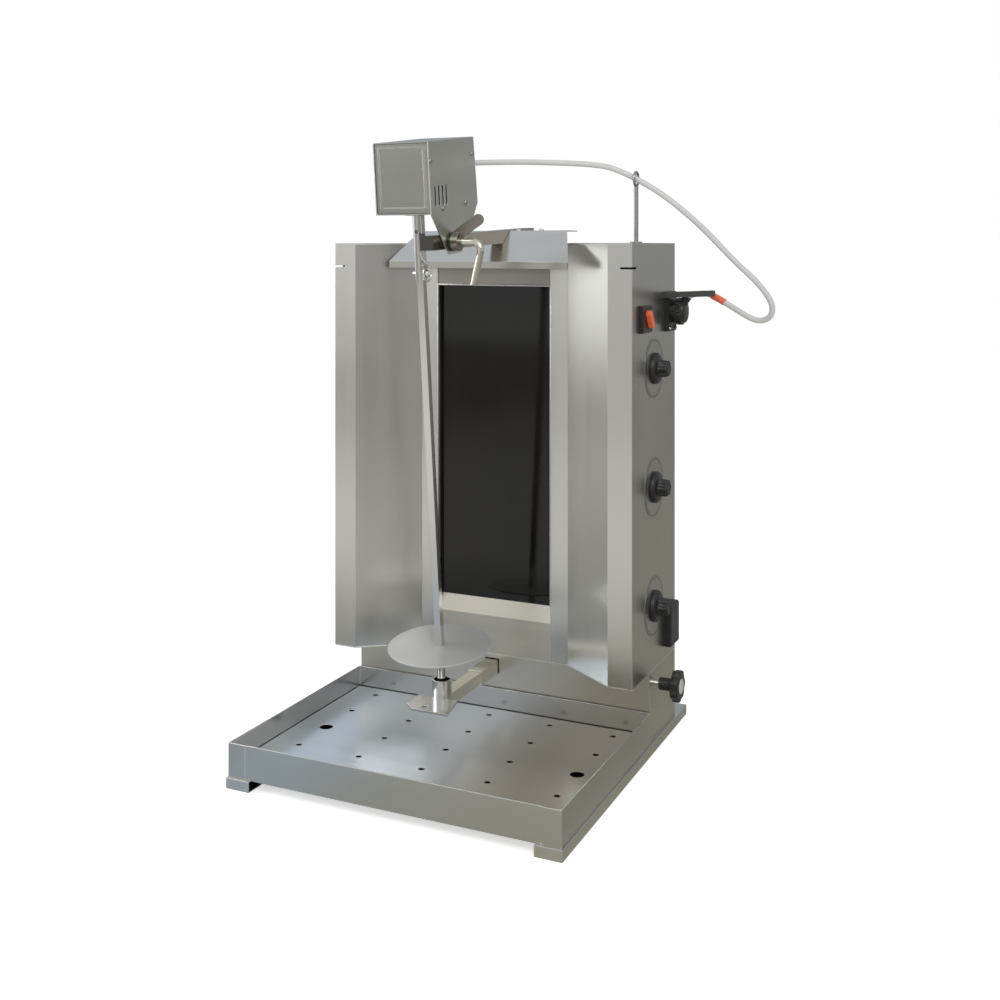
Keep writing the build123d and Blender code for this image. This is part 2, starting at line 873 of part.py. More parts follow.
# Screws of the head: four on each side plate
screw_places = [
    ((head_front if back < 0 else head_back) * back, head_height * up) for back, up in screw_shares
]
with BuildPart() as head_screws:
    for place in screw_places:
        with BuildSketch(head_side(head_right)):
            with Locations(place):
                Circle(head_screw_head / 2)
        extrude(amount=head_screw_height)
        with BuildSketch(head_side(head_left)):
            with Locations(place):
                Circle(head_screw_head / 2)
        extrude(amount=-head_screw_height)
write(head_screws, "head_screws")

# Gland on the back of the head, with a tapered strain relief
gland_plane = Plane(
    origin=head_plane.from_local_coords((gland_x, head_back, gland_level)),
    x_dir=(1, 0, 0),
    z_dir=(0, lean_cos, lean_sin),
)
with BuildPart() as head_gland:
    with BuildSketch(gland_plane):
        RegularPolygon(gland_nut / 2, side_count=6, major_radius=False)
    extrude(amount=gland_nut_height)
    with BuildSketch(gland_plane.offset(gland_nut_height)):
        Circle(gland_nut / 2)
    with BuildSketch(gland_plane.offset(gland_length)):
        Circle(gland_tip / 2)
    loft()
write(head_gland, "head_gland")

# Coupling: drive shaft in the gearbox, tube below the head, square socket for the spit bar
half_bar = bar / 2
socket_half = half_bar + bar_fit
pin_level = -coupling_length + pin_rise
with BuildPart(head_plane) as drive_coupling:
    with Locations((0, 0, -fit)):
        Cylinder(coupling_radius, coupling_length - fit, align=(Align.CENTER, Align.CENTER, Align.MAX))
        Cylinder(
            coupling_neck / 2,
            coupling_neck_length + sheet,
            align=(Align.CENTER, Align.CENTER, Align.MIN),
        )
    block(
        (-socket_half, -socket_half, -coupling_length - overrun),
        (socket_half, socket_half, -coupling_length + bar_socket_depth),
        mode=Mode.SUBTRACT,
    )
    with Locations(Location((0, 0, -coupling_hole_drop), (90, 0, coupling_hole_turn))):
        Cylinder(coupling_hole / 2, coupling_diameter + overrun, mode=Mode.SUBTRACT)
    with Locations(Location((0, 0, pin_level), (0, 90, 0))):
        Cylinder(pin_diameter / 2 + shaft_fit, coupling_diameter + overrun, mode=Mode.SUBTRACT)
write(drive_coupling, "drive_coupling")

# Spit: square bar with a round foot and a cross hole for the retaining pin
bar_end = -spit_drop + foot_length
with BuildPart(head_plane) as spit_rod:
    block((-half_bar, -half_bar, bar_end), (half_bar, half_bar, -coupling_length + bar_socket_depth))
    with Locations((0, 0, -spit_drop)):
        Cylinder(foot_diameter / 2, foot_length, align=(Align.CENTER, Align.CENTER, Align.MIN))
    with Locations(Location((0, 0, pin_level), (0, 90, 0))):
        Cylinder(pin_diameter / 2 + shaft_fit, coupling_diameter + overrun, mode=Mode.SUBTRACT)
    chamfer(spit_rod.faces().sort_by(Axis.Z)[0].edges(), foot_edge)
write(spit_rod, "spit_rod")

# Disc that carries the meat, on a hub
with BuildPart(head_plane) as spit_disc:
    with Locations((0, 0, -disc_drop)):
        Cylinder(disc_diameter / 2, disc_thickness, align=(Align.CENTER, Align.CENTER, Align.MAX))
    with Locations((0, 0, -disc_drop - disc_thickness)):
        Cylinder(hub_diameter / 2, hub_height, align=(Align.CENTER, Align.CENTER, Align.MAX))
    block(
        (-socket_half, -socket_half, -disc_drop - disc_thickness - hub_height - overrun),
        (socket_half, socket_half, -disc_drop + overrun),
        mode=Mode.SUBTRACT,
    )
write(spit_disc, "spit_disc")

# Retaining pin: cross pin with a shoulder and a spring clip, which is a wire ring with one leg up
pin_start = -coupling_radius - pin_tip
shoulder_start = coupling_radius + fit
tongue_end = shoulder_start + pin_shoulder_length + pin_eye
with BuildPart() as retaining_pin:
    pin_plane = facing_right(
        spit_x, head_setback - pin_level * lean_sin, head_level + pin_level * lean_cos
    )
    rod(pin_plane.offset(pin_start), pin_diameter / 2, tongue_end - pin_start)
    rod(pin_plane.offset(shoulder_start), pin_shoulder / 2, pin_shoulder_length)
    ring_plane = Plane(pin_plane.from_local_coords((-ring_radius, 0, tongue_end)))
    with Locations(facing_right(*ring_plane.origin)):
        Torus(ring_radius, ring_wire / 2)
    with BuildLine() as clip_path:
        FilletPolyline(
            ring_plane.from_local_coords((0, 0, ring_radius)),
            *(ring_plane.from_local_coords(place) for place in clip_bends),
            radius=clip_bend,
        )
    with BuildSketch(Plane(origin=clip_path.line @ 0, z_dir=clip_path.line % 0)):
        Circle(clip_wire / 2)
    sweep()
write(retaining_pin, "retaining_pin")

# Lower arm: square tube that slides in the sleeve, shaped to the round of the cup
arm_half = lower_arm / 2
with BuildPart() as lower_arm_tube:
    block(
        (spit_x - arm_half, cup_y, lower_arm_level - arm_half),
        (spit_x + arm_half, body_depth + lower_arm_tail, lower_arm_level + arm_half),
    )
    block(
        (spit_x - arm_half + lower_arm_wall, cup_y - overrun, lower_arm_level - arm_half + lower_arm_wall),
        (
            spit_x + arm_half - lower_arm_wall,
            body_depth + lower_arm_tail + overrun,
            lower_arm_level + arm_half - lower_arm_wall,
        ),
        mode=Mode.SUBTRACT,
    )
    with Locations((spit_x, cup_y, cup_level - overrun)):
        Cylinder(
            cup_diameter / 2,
            cup_height + 2 * overrun,
            align=(Align.CENTER, Align.CENTER, Align.MIN),
            mode=Mode.SUBTRACT,
        )
write(lower_arm_tube, "lower_arm_tube")

# Cup: round pot on the end of the arm that holds the foot of the spit
with BuildPart() as spit_cup:
    with Locations((spit_x, cup_y, cup_level)):
        Cylinder(cup_diameter / 2, cup_height, align=(Align.CENTER, Align.CENTER, Align.MIN))
    with Locations((spit_x, cup_y, cup_level + cup_floor)):
        Cylinder(
            cup_bore / 2,
            cup_height,
            align=(Align.CENTER, Align.CENTER, Align.MIN),
            mode=Mode.SUBTRACT,
        )
write(spit_cup, "spit_cup")

# Cup plate: pull tab welded to the front of the cup, with one cut corner and a hole
with BuildPart() as cup_plate:
    with BuildSketch(Plane.XY.offset(pull_tab_level - pull_tab_thickness)):
        with BuildLine():
            Polyline(
                (spit_x - pull_tab_left, cup_y - pull_tab_back),
                (spit_x - pull_tab_left, cup_y - pull_tab_front + pull_tab_chamfer),
                (spit_x - pull_tab_left + pull_tab_chamfer, cup_y - pull_tab_front),
                (spit_x + pull_tab_right, cup_y - pull_tab_front),
                (spit_x + pull_tab_back_right, cup_y - pull_tab_back),
                close=True,
            )
        make_face()
        with Locations((spit_x, cup_y)):
            Circle(cup_diameter / 2, mode=Mode.SUBTRACT)
        with Locations((spit_x, cup_y - pull_tab_hole_reach)):
            Circle(pull_tab_hole / 2, mode=Mode.SUBTRACT)
    extrude(amount=pull_tab_thickness)
write(cup_plate, "cup_plate")

# Clamp screw and star knob that lock the lower arm
screw_start = spit_x + arm_half + fit
star_start = half_body + clamp_gap
with BuildPart() as clamp_screw:
    rod(
        facing_right(screw_start, clamp_setback, clamp_level),
        clamp_screw_diameter / 2,
        star_start - screw_start,
    )
write(clamp_screw, "clamp_screw")

star_face = star_start + star_boss_height
with BuildPart() as star_knob:
    rod(facing_right(star_start, clamp_setback, clamp_level), star_boss / 2, star_boss_height)
    with BuildSketch(facing_right(star_face, clamp_setback, clamp_level)):
        Circle(star_diameter / 2)
        with PolarLocations(star_diameter / 2 + star_scallop / 2, star_lobes):
            Circle(star_scallop, mode=Mode.SUBTRACT)
    extrude(amount=star_height)
    rod(facing_right(star_face + star_height, clamp_setback, clamp_level), star_cap / 2, star_cap_height)
write(star_knob, "star_knob")

# Drip tray: open box with folded tabs at the front corners
half_tray = tray_width / 2
with BuildPart() as drip_tray:
    block((-half_tray, tray_front, rail_height), (half_tray, tray_back, rail_height + tray_height))
    block(
        (-half_tray + thin_sheet, tray_front + thin_sheet, tray_floor),
        (half_tray - thin_sheet, tray_back - thin_sheet, rail_height + tray_height + overrun),
        mode=Mode.SUBTRACT,
    )
    for side in (-1, 1):
        block(
            (side * half_tray, tray_front - thin_sheet, rail_height),
            (side * (half_tray - tray_tab), tray_front, rail_height + tray_height),
        )
write(drip_tray, "drip_tray")

# Drip plate: perforated plate with folded edges, two of its holes wide enough for a finger
plate_half = half_tray - thin_sheet - drip_plate_gap
plate_front = tray_front + thin_sheet + drip_plate_gap
plate_back = tray_back - thin_sheet - drip_plate_back_gap
plate_top = tray_floor + drip_plate_height
plate_middle = (plate_front + plate_back) / 2
drain_pitch_x = 2 * (plate_half - drain_margin_x) / (drain_columns - 1)
drain_pitch_y = (plate_back - plate_front - 2 * drain_margin_y) / (drain_rows - 1)
with BuildPart() as drip_plate:
    block((-plate_half, plate_front, tray_floor), (plate_half, plate_back, plate_top))
    block(
        (-plate_half + thin_sheet, plate_front + thin_sheet, tray_floor - overrun),
        (plate_half - thin_sheet, plate_back - thin_sheet, plate_top - thin_sheet),
        mode=Mode.SUBTRACT,
    )
    with Locations((0, plate_middle, plate_top)):
        with GridLocations(drain_pitch_x, drain_pitch_y, drain_columns, drain_rows):
            Hole(drain_hole / 2)
        with GridLocations((drain_columns - 1) * drain_pitch_x, 0, 2, 1):
            Hole(finger_hole / 2)
write(drip_plate, "drip_plate")

# Regulators behind the panel, each with its shaft
with BuildPart() as heat_regulators:
    half_size = regulator_size / 2
    panel_back = half_body - sheet
    for level in knob_levels.values():
        block(
            (panel_back - regulator_depth, knob_setback - half_size, level - half_size),
            (panel_back, knob_setback + half_size, level + half_size),
        )
        rod(
            facing_right(panel_back, knob_setback, level),
            regulator_shaft / 2,
            sheet + dial_thickness + regulator_shaft_depth,
        )
write(heat_regulators, "heat_regulators")

# Dial plates under the knobs
with BuildPart() as dial_plates:
    for level in knob_levels.values():
        with BuildSketch(facing_right(half_body, knob_setback, level)):
            Circle(dial_diameter / 2)
            Circle(shaft_hole, mode=Mode.SUBTRACT)
        extrude(amount=dial_thickness)
write(dial_plates, "dial_plates")

# Heat knobs: skirt with a pointer, and a fluted grip on the regulator's shaft
skirt_start = panel_face + fit
grip_start = skirt_start + knob_skirt_height
for zone, level in knob_levels.items():
    with BuildPart() as heat_knob:
        with BuildSketch(facing_right(skirt_start, knob_setback, level)):
            Circle(knob_skirt / 2)
        extrude(amount=knob_skirt_height)
        chamfer(heat_knob.faces().sort_by(Axis.X)[-1].edges(), knob_edge)
        with BuildSketch(facing_right(grip_start, knob_setback, level)):
            Circle(knob_grip / 2)
            with PolarLocations(knob_grip / 2 + knob_flute / 2, knob_flutes):
                Circle(knob_flute, mode=Mode.SUBTRACT)
        extrude(amount=knob_grip_height)
        pointer_end = knob_skirt / 2 - knob_edge
        block(
            (grip_start, knob_setback - knob_pointer_width / 2, level),
            (grip_start + knob_pointer_height, knob_setback + knob_pointer_width / 2, level + pointer_end),
        )
        rod(
            facing_right(skirt_start - overrun, knob_setback, level),
            regulator_shaft / 2 + shaft_fit,
            regulator_shaft_depth + overrun,
            mode=Mode.SUBTRACT,
        )
    write(heat_knob, f"heat_knob_{zone}")

# Switch: low base with a bore, and a lever on a spindle
switch_face = half_body + switch_depth
with BuildPart() as switch_base:
    block(
        (half_body, switch_setback - switch_width / 2, switch_level - switch_height / 2),
        (switch_face, switch_setback + switch_width / 2, switch_level + switch_height / 2),
    )
    chamfer(switch_base.faces().sort_by(Axis.X)[-1].edges(), knob_edge)
    rod(
        facing_right(switch_face - switch_spindle_depth - fit, switch_setback, switch_level),
        switch_spindle / 2 + shaft_fit,
        switch_spindle_depth + overrun,
        mode=Mode.SUBTRACT,
    )
write(switch_base, "switch_base")

with BuildPart() as switch_lever:
    rod(
        facing_right(switch_face - switch_spindle_depth, switch_setback, switch_level),
        switch_spindle / 2,
        switch_spindle_depth + fit,
    )
    with BuildSketch(facing_right(switch_face + fit, switch_setback, switch_level)):
        SlotOverall(switch_lever_length, switch_lever_width, rotation=switch_lever_lean)
    extrude(amount=switch_lever_height)
write(switch_lever, "switch_lever")

# Socket of the motor: flange with a barrel and four screws
socket_face = half_body + socket_thickness
barrel_face = socket_face + socket_barrel_depth
socket_plane = facing_right(socket_face, socket_setback, socket_level)
with BuildPart() as socket_housing:
    block(
        (half_body, socket_setback - socket_width / 2, socket_level - socket_height / 2),
        (socket_face, socket_setback + socket_width / 2, socket_level + socket_height / 2),
    )
    rod(socket_plane, socket_barrel / 2, socket_barrel_depth)
    with Locations(socket_plane):
        with GridLocations(
            socket_width - 2 * socket_screw_margin, socket_height - 2 * socket_screw_margin, 2, 2
        ):
            Cylinder(
                socket_screw / 2, socket_screw_height, align=(Align.CENTER, Align.CENTER, Align.MIN)
            )
write(socket_housing, "socket_housing")

# Cable bar: flat bar, rounded at its tip, on a foot that is bolted along the panel
cable_bar_plane = Plane(
    origin=(half_body, cable_bar_setback, cable_bar_level), x_dir=(0, 1, 0), z_dir=bar_direction
)
with BuildPart() as cable_bar:
    block(
        (half_body, cable_bar_setback - cable_bar_foot, cable_bar_level - cable_bar_height / 2),
        (
            half_body + cable_bar_foot_thickness,
            cable_bar_setback + cable_bar_thickness / 2,
            cable_bar_level + cable_bar_height / 2,
        ),
    )
    rod(
        facing_right(
            half_body + cable_bar_foot_thickness,
            cable_bar_setback - cable_bar_foot + cable_bar_bolt_inset,
            cable_bar_level,
        ),
        cable_bar_bolt / 2,
        cable_bar_bolt_height,
    )
    bar_root = cable_bar_foot_thickness / 2
    with BuildSketch(cable_bar_plane.offset(bar_root)):
        Rectangle(cable_bar_thickness, cable_bar_height)
    extrude(amount=cable_bar_length - bar_root)
    fillet(
        cable_bar.faces().sort_by(Axis.X)[-1].edges().filter_by(Axis.Y),
        cable_bar_tip_radius,
    )
write(cable_bar, "cable_bar")

# Cover of the mains inlet
with BuildPart() as mains_inlet_cover:
    block(
        (half_body, inlet_setback - inlet_width / 2, inlet_level - inlet_height / 2),
        (half_body + inlet_depth, inlet_setback + inlet_width / 2, inlet_level + inlet_height / 2),
    )
    fillet(mains_inlet_cover.edges().filter_by(Axis.X), inlet_corner)
    chamfer(mains_inlet_cover.faces().sort_by(Axis.X)[-1].edges(), knob_edge)
write(mains_inlet_cover, "mains_inlet_cover")

# Screws of the cabinet: two on the visor, and a row down each side of the back
visor_screw_y = visor_back - visor_screw_setback
with BuildPart() as case_screws:
    for place in visor_screws:
        with Locations((place, visor_screw_y, visor_top)):
            Cylinder(screw_head / 2, screw_head_height, align=(Align.CENTER, Align.CENTER, Align.MIN))
    back_plane = Plane(
        origin=(0, body_depth, (wall_bottom + wall_top) / 2), x_dir=(-1, 0, 0), z_dir=(0, 1, 0)
    )
    with Locations(back_plane):
        with GridLocations(
            body_width - 2 * back_screw_margin,
            (case_height - 2 * back_screw_margin) / (back_screw_rows - 1),
            2,
            back_screw_rows,
        ):
            Cylinder(
                screw_head / 2, screw_head_height, align=(Align.CENTER, Align.CENTER, Align.MIN)
            )
write(case_screws, "case_screws")

# Motor cable: from the gland over the hook, out in a loop and back to the plug, chosen by hand
gland_end = gland_plane.offset(gland_length).origin
cable_exit = gland_plane.offset(gland_length + cable_exit_run).origin
cable_middle = [
    (20, 4, 880.5),
    (60, 19, 881),
    (110, 31, 879.5),
    (170, 43, 876),
    (206, 51, 869.5),
    (264, 70, 836.5),
    (308, 86, 798.7),
    (335, 98, 770.5),
    (369, 112, 731),
    (396, 122, 705),
    (413, 130, 682),
    (419.5, 135, 665),
    (415, 140, 650),
    (401, 145, 643.5),
    (386, 148, 645.5),
    (366, 152, 656),
    (318, 160, 683),
    (297, 163, 682.5),
]
plug_entry = (283, 165, 677.5)
cable_route = [Vector(gland_end), Vector(cable_exit), *(Vector(p) for p in cable_middle), Vector(plug_entry)]
cable_radii = []
for before, corner, after in zip(cable_route, cable_route[1:], cable_route[2:]):
    turn = (corner - before).get_angle(after - corner)
    shorter_run = min((corner - before).length, (after - corner).length)
    cable_radii.append(cable_arc_share * shorter_run / tan(radians(turn) / 2))
print("cable radii", [round(radius, 1) for radius in cable_radii])

with BuildPart() as motor_cable:
    with BuildLine() as cable_path:
        FilletPolyline(*cable_route, radius=cable_radii)
    with BuildSketch(Plane(origin=cable_path.line @ 0, z_dir=cable_path.line % 0)):
        Circle(cable_diameter / 2)
    sweep()
cable_length = sum(edge.length for edge in cable_path.line.edges())
cable_volume = cable_length * pi * cable_diameter**2 / 4
print("cable length", round(cable_length, 1), "volume share", motor_cable.part.volume / cable_volume)
write(motor_cable, "motor_cable")

# Coloured sleeve on the cable, near the cable bar
run_start, run_end = cable_route[-4:-2]
sleeve_run = run_end - run_start
sleeve_from, sleeve_to = cable_sleeve_shares
sleeve_plane = Plane(origin=run_start + sleeve_run * sleeve_from, z_dir=sleeve_run.normalized())
with BuildPart() as cable_sleeve:
    with BuildSketch(sleeve_plane):
        Circle(cable_sleeve_diameter / 2)
        Circle(cable_diameter / 2 + shaft_fit, mode=Mode.SUBTRACT)
    extrude(amount=sleeve_run.length * (sleeve_to - sleeve_from))
write(cable_sleeve, "cable_sleeve")

# Plug of the motor cable: round body on the socket, with a boss that the cable enters
plug_end = barrel_face + plug_length
entry_run = cable_route[-1] - cable_route[-2]
with BuildPart() as motor_plug:
    rod(facing_right(barrel_face, socket_setback, socket_level), plug_diameter / 2, plug_length)
    chamfer(motor_plug.faces().sort_by(Axis.X)[-1].edges(), plug_edge)
    rod(Plane(origin=plug_entry, z_dir=entry_run.normalized()), plug_boss / 2, plug_length)
write(motor_plug, "motor_plug")
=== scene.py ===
"""Electric doner kebab grill: the finish of its steel, glass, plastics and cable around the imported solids."""
import math

import bmesh
import bpy
import numpy as np
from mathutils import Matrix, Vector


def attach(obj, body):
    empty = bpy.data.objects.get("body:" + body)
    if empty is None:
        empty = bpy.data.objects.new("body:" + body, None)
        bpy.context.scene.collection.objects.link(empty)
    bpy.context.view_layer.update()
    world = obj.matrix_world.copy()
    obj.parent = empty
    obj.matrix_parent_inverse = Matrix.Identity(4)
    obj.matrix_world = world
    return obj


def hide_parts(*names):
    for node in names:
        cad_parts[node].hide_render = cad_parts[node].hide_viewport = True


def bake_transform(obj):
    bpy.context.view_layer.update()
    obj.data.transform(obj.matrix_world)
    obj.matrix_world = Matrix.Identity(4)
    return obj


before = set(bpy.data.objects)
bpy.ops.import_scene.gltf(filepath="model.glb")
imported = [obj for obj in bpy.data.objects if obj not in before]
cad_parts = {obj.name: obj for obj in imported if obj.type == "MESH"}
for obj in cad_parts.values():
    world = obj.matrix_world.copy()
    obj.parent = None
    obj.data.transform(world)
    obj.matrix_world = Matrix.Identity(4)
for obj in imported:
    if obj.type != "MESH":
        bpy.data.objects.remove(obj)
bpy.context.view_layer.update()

# Base rails
# Two channels folded from 1.5 mm stainless sheet that was ground lengthwise at the mill. They carry the cabinet
# and the drip tray, and are welded at their ends.


def link(tree, *pairs):
    """Join outputs to inputs of a node tree, pair by pair."""
    for output, target in pairs:
        tree.links.new(output, target)


def feed(tree, inputs, values):
    """Link each input to an output, or set it to a plain value."""
    for socket, value in zip(inputs, values):
        if isinstance(value, bpy.types.NodeSocket):
            tree.links.new(value, socket)
        else:
            socket.default_value = value


def sockets(tree, inputs, outputs):
    """Give a node group its named sockets and return its input and output nodes."""
    for name, kind, value in inputs:
        socket = tree.interface.new_socket(name, in_out="INPUT", socket_type=kind)
        if value is not None:
            socket.default_value = value
    for name, kind in outputs:
        tree.interface.new_socket(name, in_out="OUTPUT", socket_type=kind)
    return tree.nodes.new("NodeGroupInput"), tree.nodes.new("NodeGroupOutput")


def noise(tree, place, scale, detail):
    """The value of a noise texture at a place."""
    node = tree.nodes.new("ShaderNodeTexNoise")
    node.inputs["Scale"].default_value = scale
    node.inputs["Detail"].default_value = detail
    node.inputs["Roughness"].default_value = 0.55
    tree.links.new(place, node.inputs["Vector"])
    return node.outputs["Fac"]


def maths(tree, operation, *values, clamp=False):
    """A math node between outputs or plain numbers."""
    node = tree.nodes.new("ShaderNodeMath")
    node.operation = operation
    node.use_clamp = clamp
    feed(tree, node.inputs, values)
    return node.outputs[0]


def vector_maths(tree, operation, output, first, second):
    """One output of a vector math node between outputs or plain vectors."""
    node = tree.nodes.new("ShaderNodeVectorMath")
    node.operation = operation
    feed(tree, node.inputs, (first, second))
    return node.outputs[output]


def mill_grain_group():
    """Grain of rolled sheet: fine streaks and broad bands along the stretched axis, and wide soft clouds."""
    tree = bpy.data.node_groups.new("mill_grain", "ShaderNodeTree")
    start, end = sockets(
        tree,
        [("Coordinates", "NodeSocketVector", None), ("Stretch", "NodeSocketVector", (1, 1, 1))],
        [("Shade", "NodeSocketFloat"), ("Gloss", "NodeSocketFloat")],
    )
    place = start.outputs["Coordinates"]
    stretched = vector_maths(tree, "MULTIPLY", "Vector", place, start.outputs["Stretch"])
    streaks = noise(tree, stretched, scale=1.0, detail=1)
    bands = noise(tree, stretched, scale=0.12, detail=2)
    clouds = noise(tree, place, scale=6.0, detail=2)
    for output, shares in (("Shade", (0.12, 0.44, 0.44)), ("Gloss", (0.1, 0.4, 0.5))):
        total = 0.0
        for share, layer in zip(shares, (streaks, bands, clouds)):
            total = maths(tree, "MULTIPLY_ADD", layer, share, total)
        tree.links.new(total, end.inputs[output])
    return tree


def rounded_edge_highlight_group():
    """Rounded edges: a softened normal, and a mask where it leaves the flat face, which the finishes use to paint
    a highlight. The mask is one less the dot product of the two normals, times a gain."""
    gain = 3.5
    tree = bpy.data.node_groups.new("rounded_edge_highlight", "ShaderNodeTree")
    start, end = sockets(
        tree,
        [("Radius", "NodeSocketFloat", 0.0006)],
        [("Normal", "NodeSocketVector"), ("Edge", "NodeSocketFloat")],
    )
    bevel = tree.nodes.new("ShaderNodeBevel")
    bevel.samples = 4
    soft = bevel.outputs["Normal"]
    flat = tree.nodes.new("ShaderNodeNewGeometry").outputs["Normal"]
    agree = vector_maths(tree, "DOT_PRODUCT", "Value", soft, flat)
    link(
        tree,
        (start.outputs["Radius"], bevel.inputs["Radius"]),
        (soft, end.inputs["Normal"]),
        (maths(tree, "MULTIPLY_ADD", agree, -gain, gain, clamp=True), end.inputs["Edge"]),
    )
    return tree


def blank(name):
    """A new material with its tree, shader and Object coordinates."""
    material = bpy.data.materials.new(name)
    material.use_nodes = True
    tree = material.node_tree
    place = tree.nodes.new("ShaderNodeTexCoord").outputs["Object"]
    return material, tree, tree.nodes["Principled BSDF"], place


def group(tree, source, **values):
    """A node group placed in a tree, with its input values."""
    node = tree.nodes.new("ShaderNodeGroup")
    node.node_tree = source
    for name, value in values.items():
        feed(tree, [node.inputs[name]], [value])
    return node


def mapped(tree, value, source, target, interpolation="LINEAR"):
    """Map a value from one range to another, held at its ends."""
    node = tree.nodes.new("ShaderNodeMapRange")
    node.interpolation_type = interpolation
    inputs = [node.inputs[name] for name in ("Value", "From Min", "From Max", "To Min", "To Max")]
    feed(tree, inputs, (value, *source, *target))
    return node.outputs["Result"]


def spread(tree, value, low, high):
    """Map a noise value from the middle of its range to the range low..high."""
    return mapped(tree, value, (0.3, 0.7), (low, high))


def mixed(tree, share, first, second):
    """A colour between two colours, each plain or linked, by a share."""
    node = tree.nodes.new("ShaderNodeMix")
    node.data_type = "RGBA"
    colours = [(*colour, 1) if isinstance(colour, tuple) else colour for colour in (first, second)]
    feed(tree, [node.inputs[0], *node.inputs[6:8]], [share, *colours])
    return node.outputs[2]


def toned(colour, factor, lift=0.0):
    """A colour made darker or paler by a factor and a lift, up to one."""
    return tuple(min(1.0, factor * part + lift) for part in colour)


def relief(tree, shader, height, normal, strength, distance):
    """Feed the shader's normal from a height, on top of another normal if there is one."""
    bump = tree.nodes.new("ShaderNodeBump")
    bump.inputs["Strength"].default_value = strength
    bump.inputs["Distance"].default_value = distance
    link(tree, (height, bump.inputs["Height"]), (bump.outputs["Normal"], shader.inputs["Normal"]))
    if normal:
        tree.links.new(normal, bump.inputs["Normal"])


mill_grain = mill_grain_group()
rounded_edge_highlight = rounded_edge_highlight_group()
# Cells of the grain in a metre: few along the rolling, and many across it.
along_x = (3, 240, 240)
along_y = (240, 3, 240)
along_z = (240, 240, 3)
grain_contrast = 0.05
gloss_low, gloss_high = -0.04, 0.05


# The roughness of a finish stays all below or all above 0.27, because the denoiser takes what is smoother for a
# mirror, and a finish that crosses that level shows scribbles.
def sheet_steel(name, colour, roughness, stretch, edge=0.0014, edge_highlight=1.8, metallic=1.0):
    """Ground stainless: metal whose colour and gloss follow the mill grain, with a painted highlight on its
    rounded edges.
    """
    material, tree, shader, place = blank(name)
    grain = group(tree, mill_grain, Coordinates=place, Stretch=stretch)
    rim = group(tree, rounded_edge_highlight, Radius=edge)
    face = mixed(tree, spread(tree, grain.outputs["Shade"], 0.0, 1.0),
                 toned(colour, 1 - grain_contrast), toned(colour, 1 + grain_contrast))
    gloss = spread(tree, grain.outputs["Gloss"], roughness + gloss_low, roughness + gloss_high)
    # The rounded edges are painted paler than the face: a painted highlight.
    link(
        tree,
        (mixed(tree, rim.outputs["Edge"], face, toned(colour, edge_highlight)), shader.inputs["Base Color"]),
        (gloss, shader.inputs["Roughness"]),
        (rim.outputs["Normal"], shader.inputs["Normal"]),
    )
    shader.inputs["Metallic"].default_value = metallic
    return material


def dress(material, *names):
    """Give CAD nodes one material in all their slots."""
    for name in names:
        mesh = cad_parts[name].data
        mesh.materials.clear()
        mesh.materials.append(material)


steel_colour = (0.60, 0.595, 0.565)
dress(sheet_steel("rail_steel", steel_colour, 0.32, along_y), "base_rail_left", "base_rail_right")

# Pedestal and cabinet
# Walls, floor, top and flared wings of the same sheet, folded and riveted. The grain runs up the walls and wings
# and across the pedestal. The right wing mirrors its surround as if it were bowed a little, which is a guess.
wall_steel = sheet_steel("wall_steel", steel_colour, 0.22, along_z)
cross_steel = sheet_steel("cross_steel", (0.60, 0.575, 0.51), 0.32, along_x)
side_steel = sheet_steel("side_steel", (0.60, 0.595, 0.55), 0.32, along_z)
dress(cross_steel, "pedestal_shell", "case_top", "case_floor", "pedestal_floor", "sleeve_stand")
dress(wall_steel, "case_back", "wing_left")
bowed_steel = sheet_steel("bowed_steel", steel_colour, 0.22, along_z)
bow_slope = (-0.09, 0.07, 0)
tree = bowed_steel.node_tree
shader = tree.nodes["Principled BSDF"]
place = tree.nodes["Texture Coordinate"].outputs["Object"]
bow_height = vector_maths(tree, "DOT_PRODUCT", "Value", place, bow_slope)
relief(tree, shader, bow_height, shader.inputs["Normal"].links[0].from_socket, strength=1.0, distance=1.0)
dress(bowed_steel, "wing_right")
dress(side_steel, "side_panel_left", "side_panel_right")

# Window frame
# Upright strips, a header and a sloped sill, folded and ground in the same way. A bright drawn bead and a dull
# lining run round the opening at both sides and above, and hide the edge of the glass.
dress(wall_steel, "frame_strip_left", "frame_strip_right")
dress(cross_steel, "lower_panel")
# The header under the visor is painted darker than the strips: the painted shadow of the visor.
dress(sheet_steel("header_painted_shadow", (0.31, 0.305, 0.27), 0.32, along_x), "header_panel")
working_origin = (-0.0385, 0.008, 0)


def at(*place):
    """Points of the part's working frame, in millimetres, as metres in the frame of the whole grill."""
    return np.asarray(place, float) / 1000 + working_origin


def full_turn(steps):
    """Angles of one turn, evenly spaced."""
    return np.linspace(0, 2 * np.pi, steps, endpoint=False)


def stood(name, data):
    """A new object of the scene, at the origin."""
    thing = bpy.data.objects.new(name, data)
    bpy.context.scene.collection.objects.link(thing)
    return thing


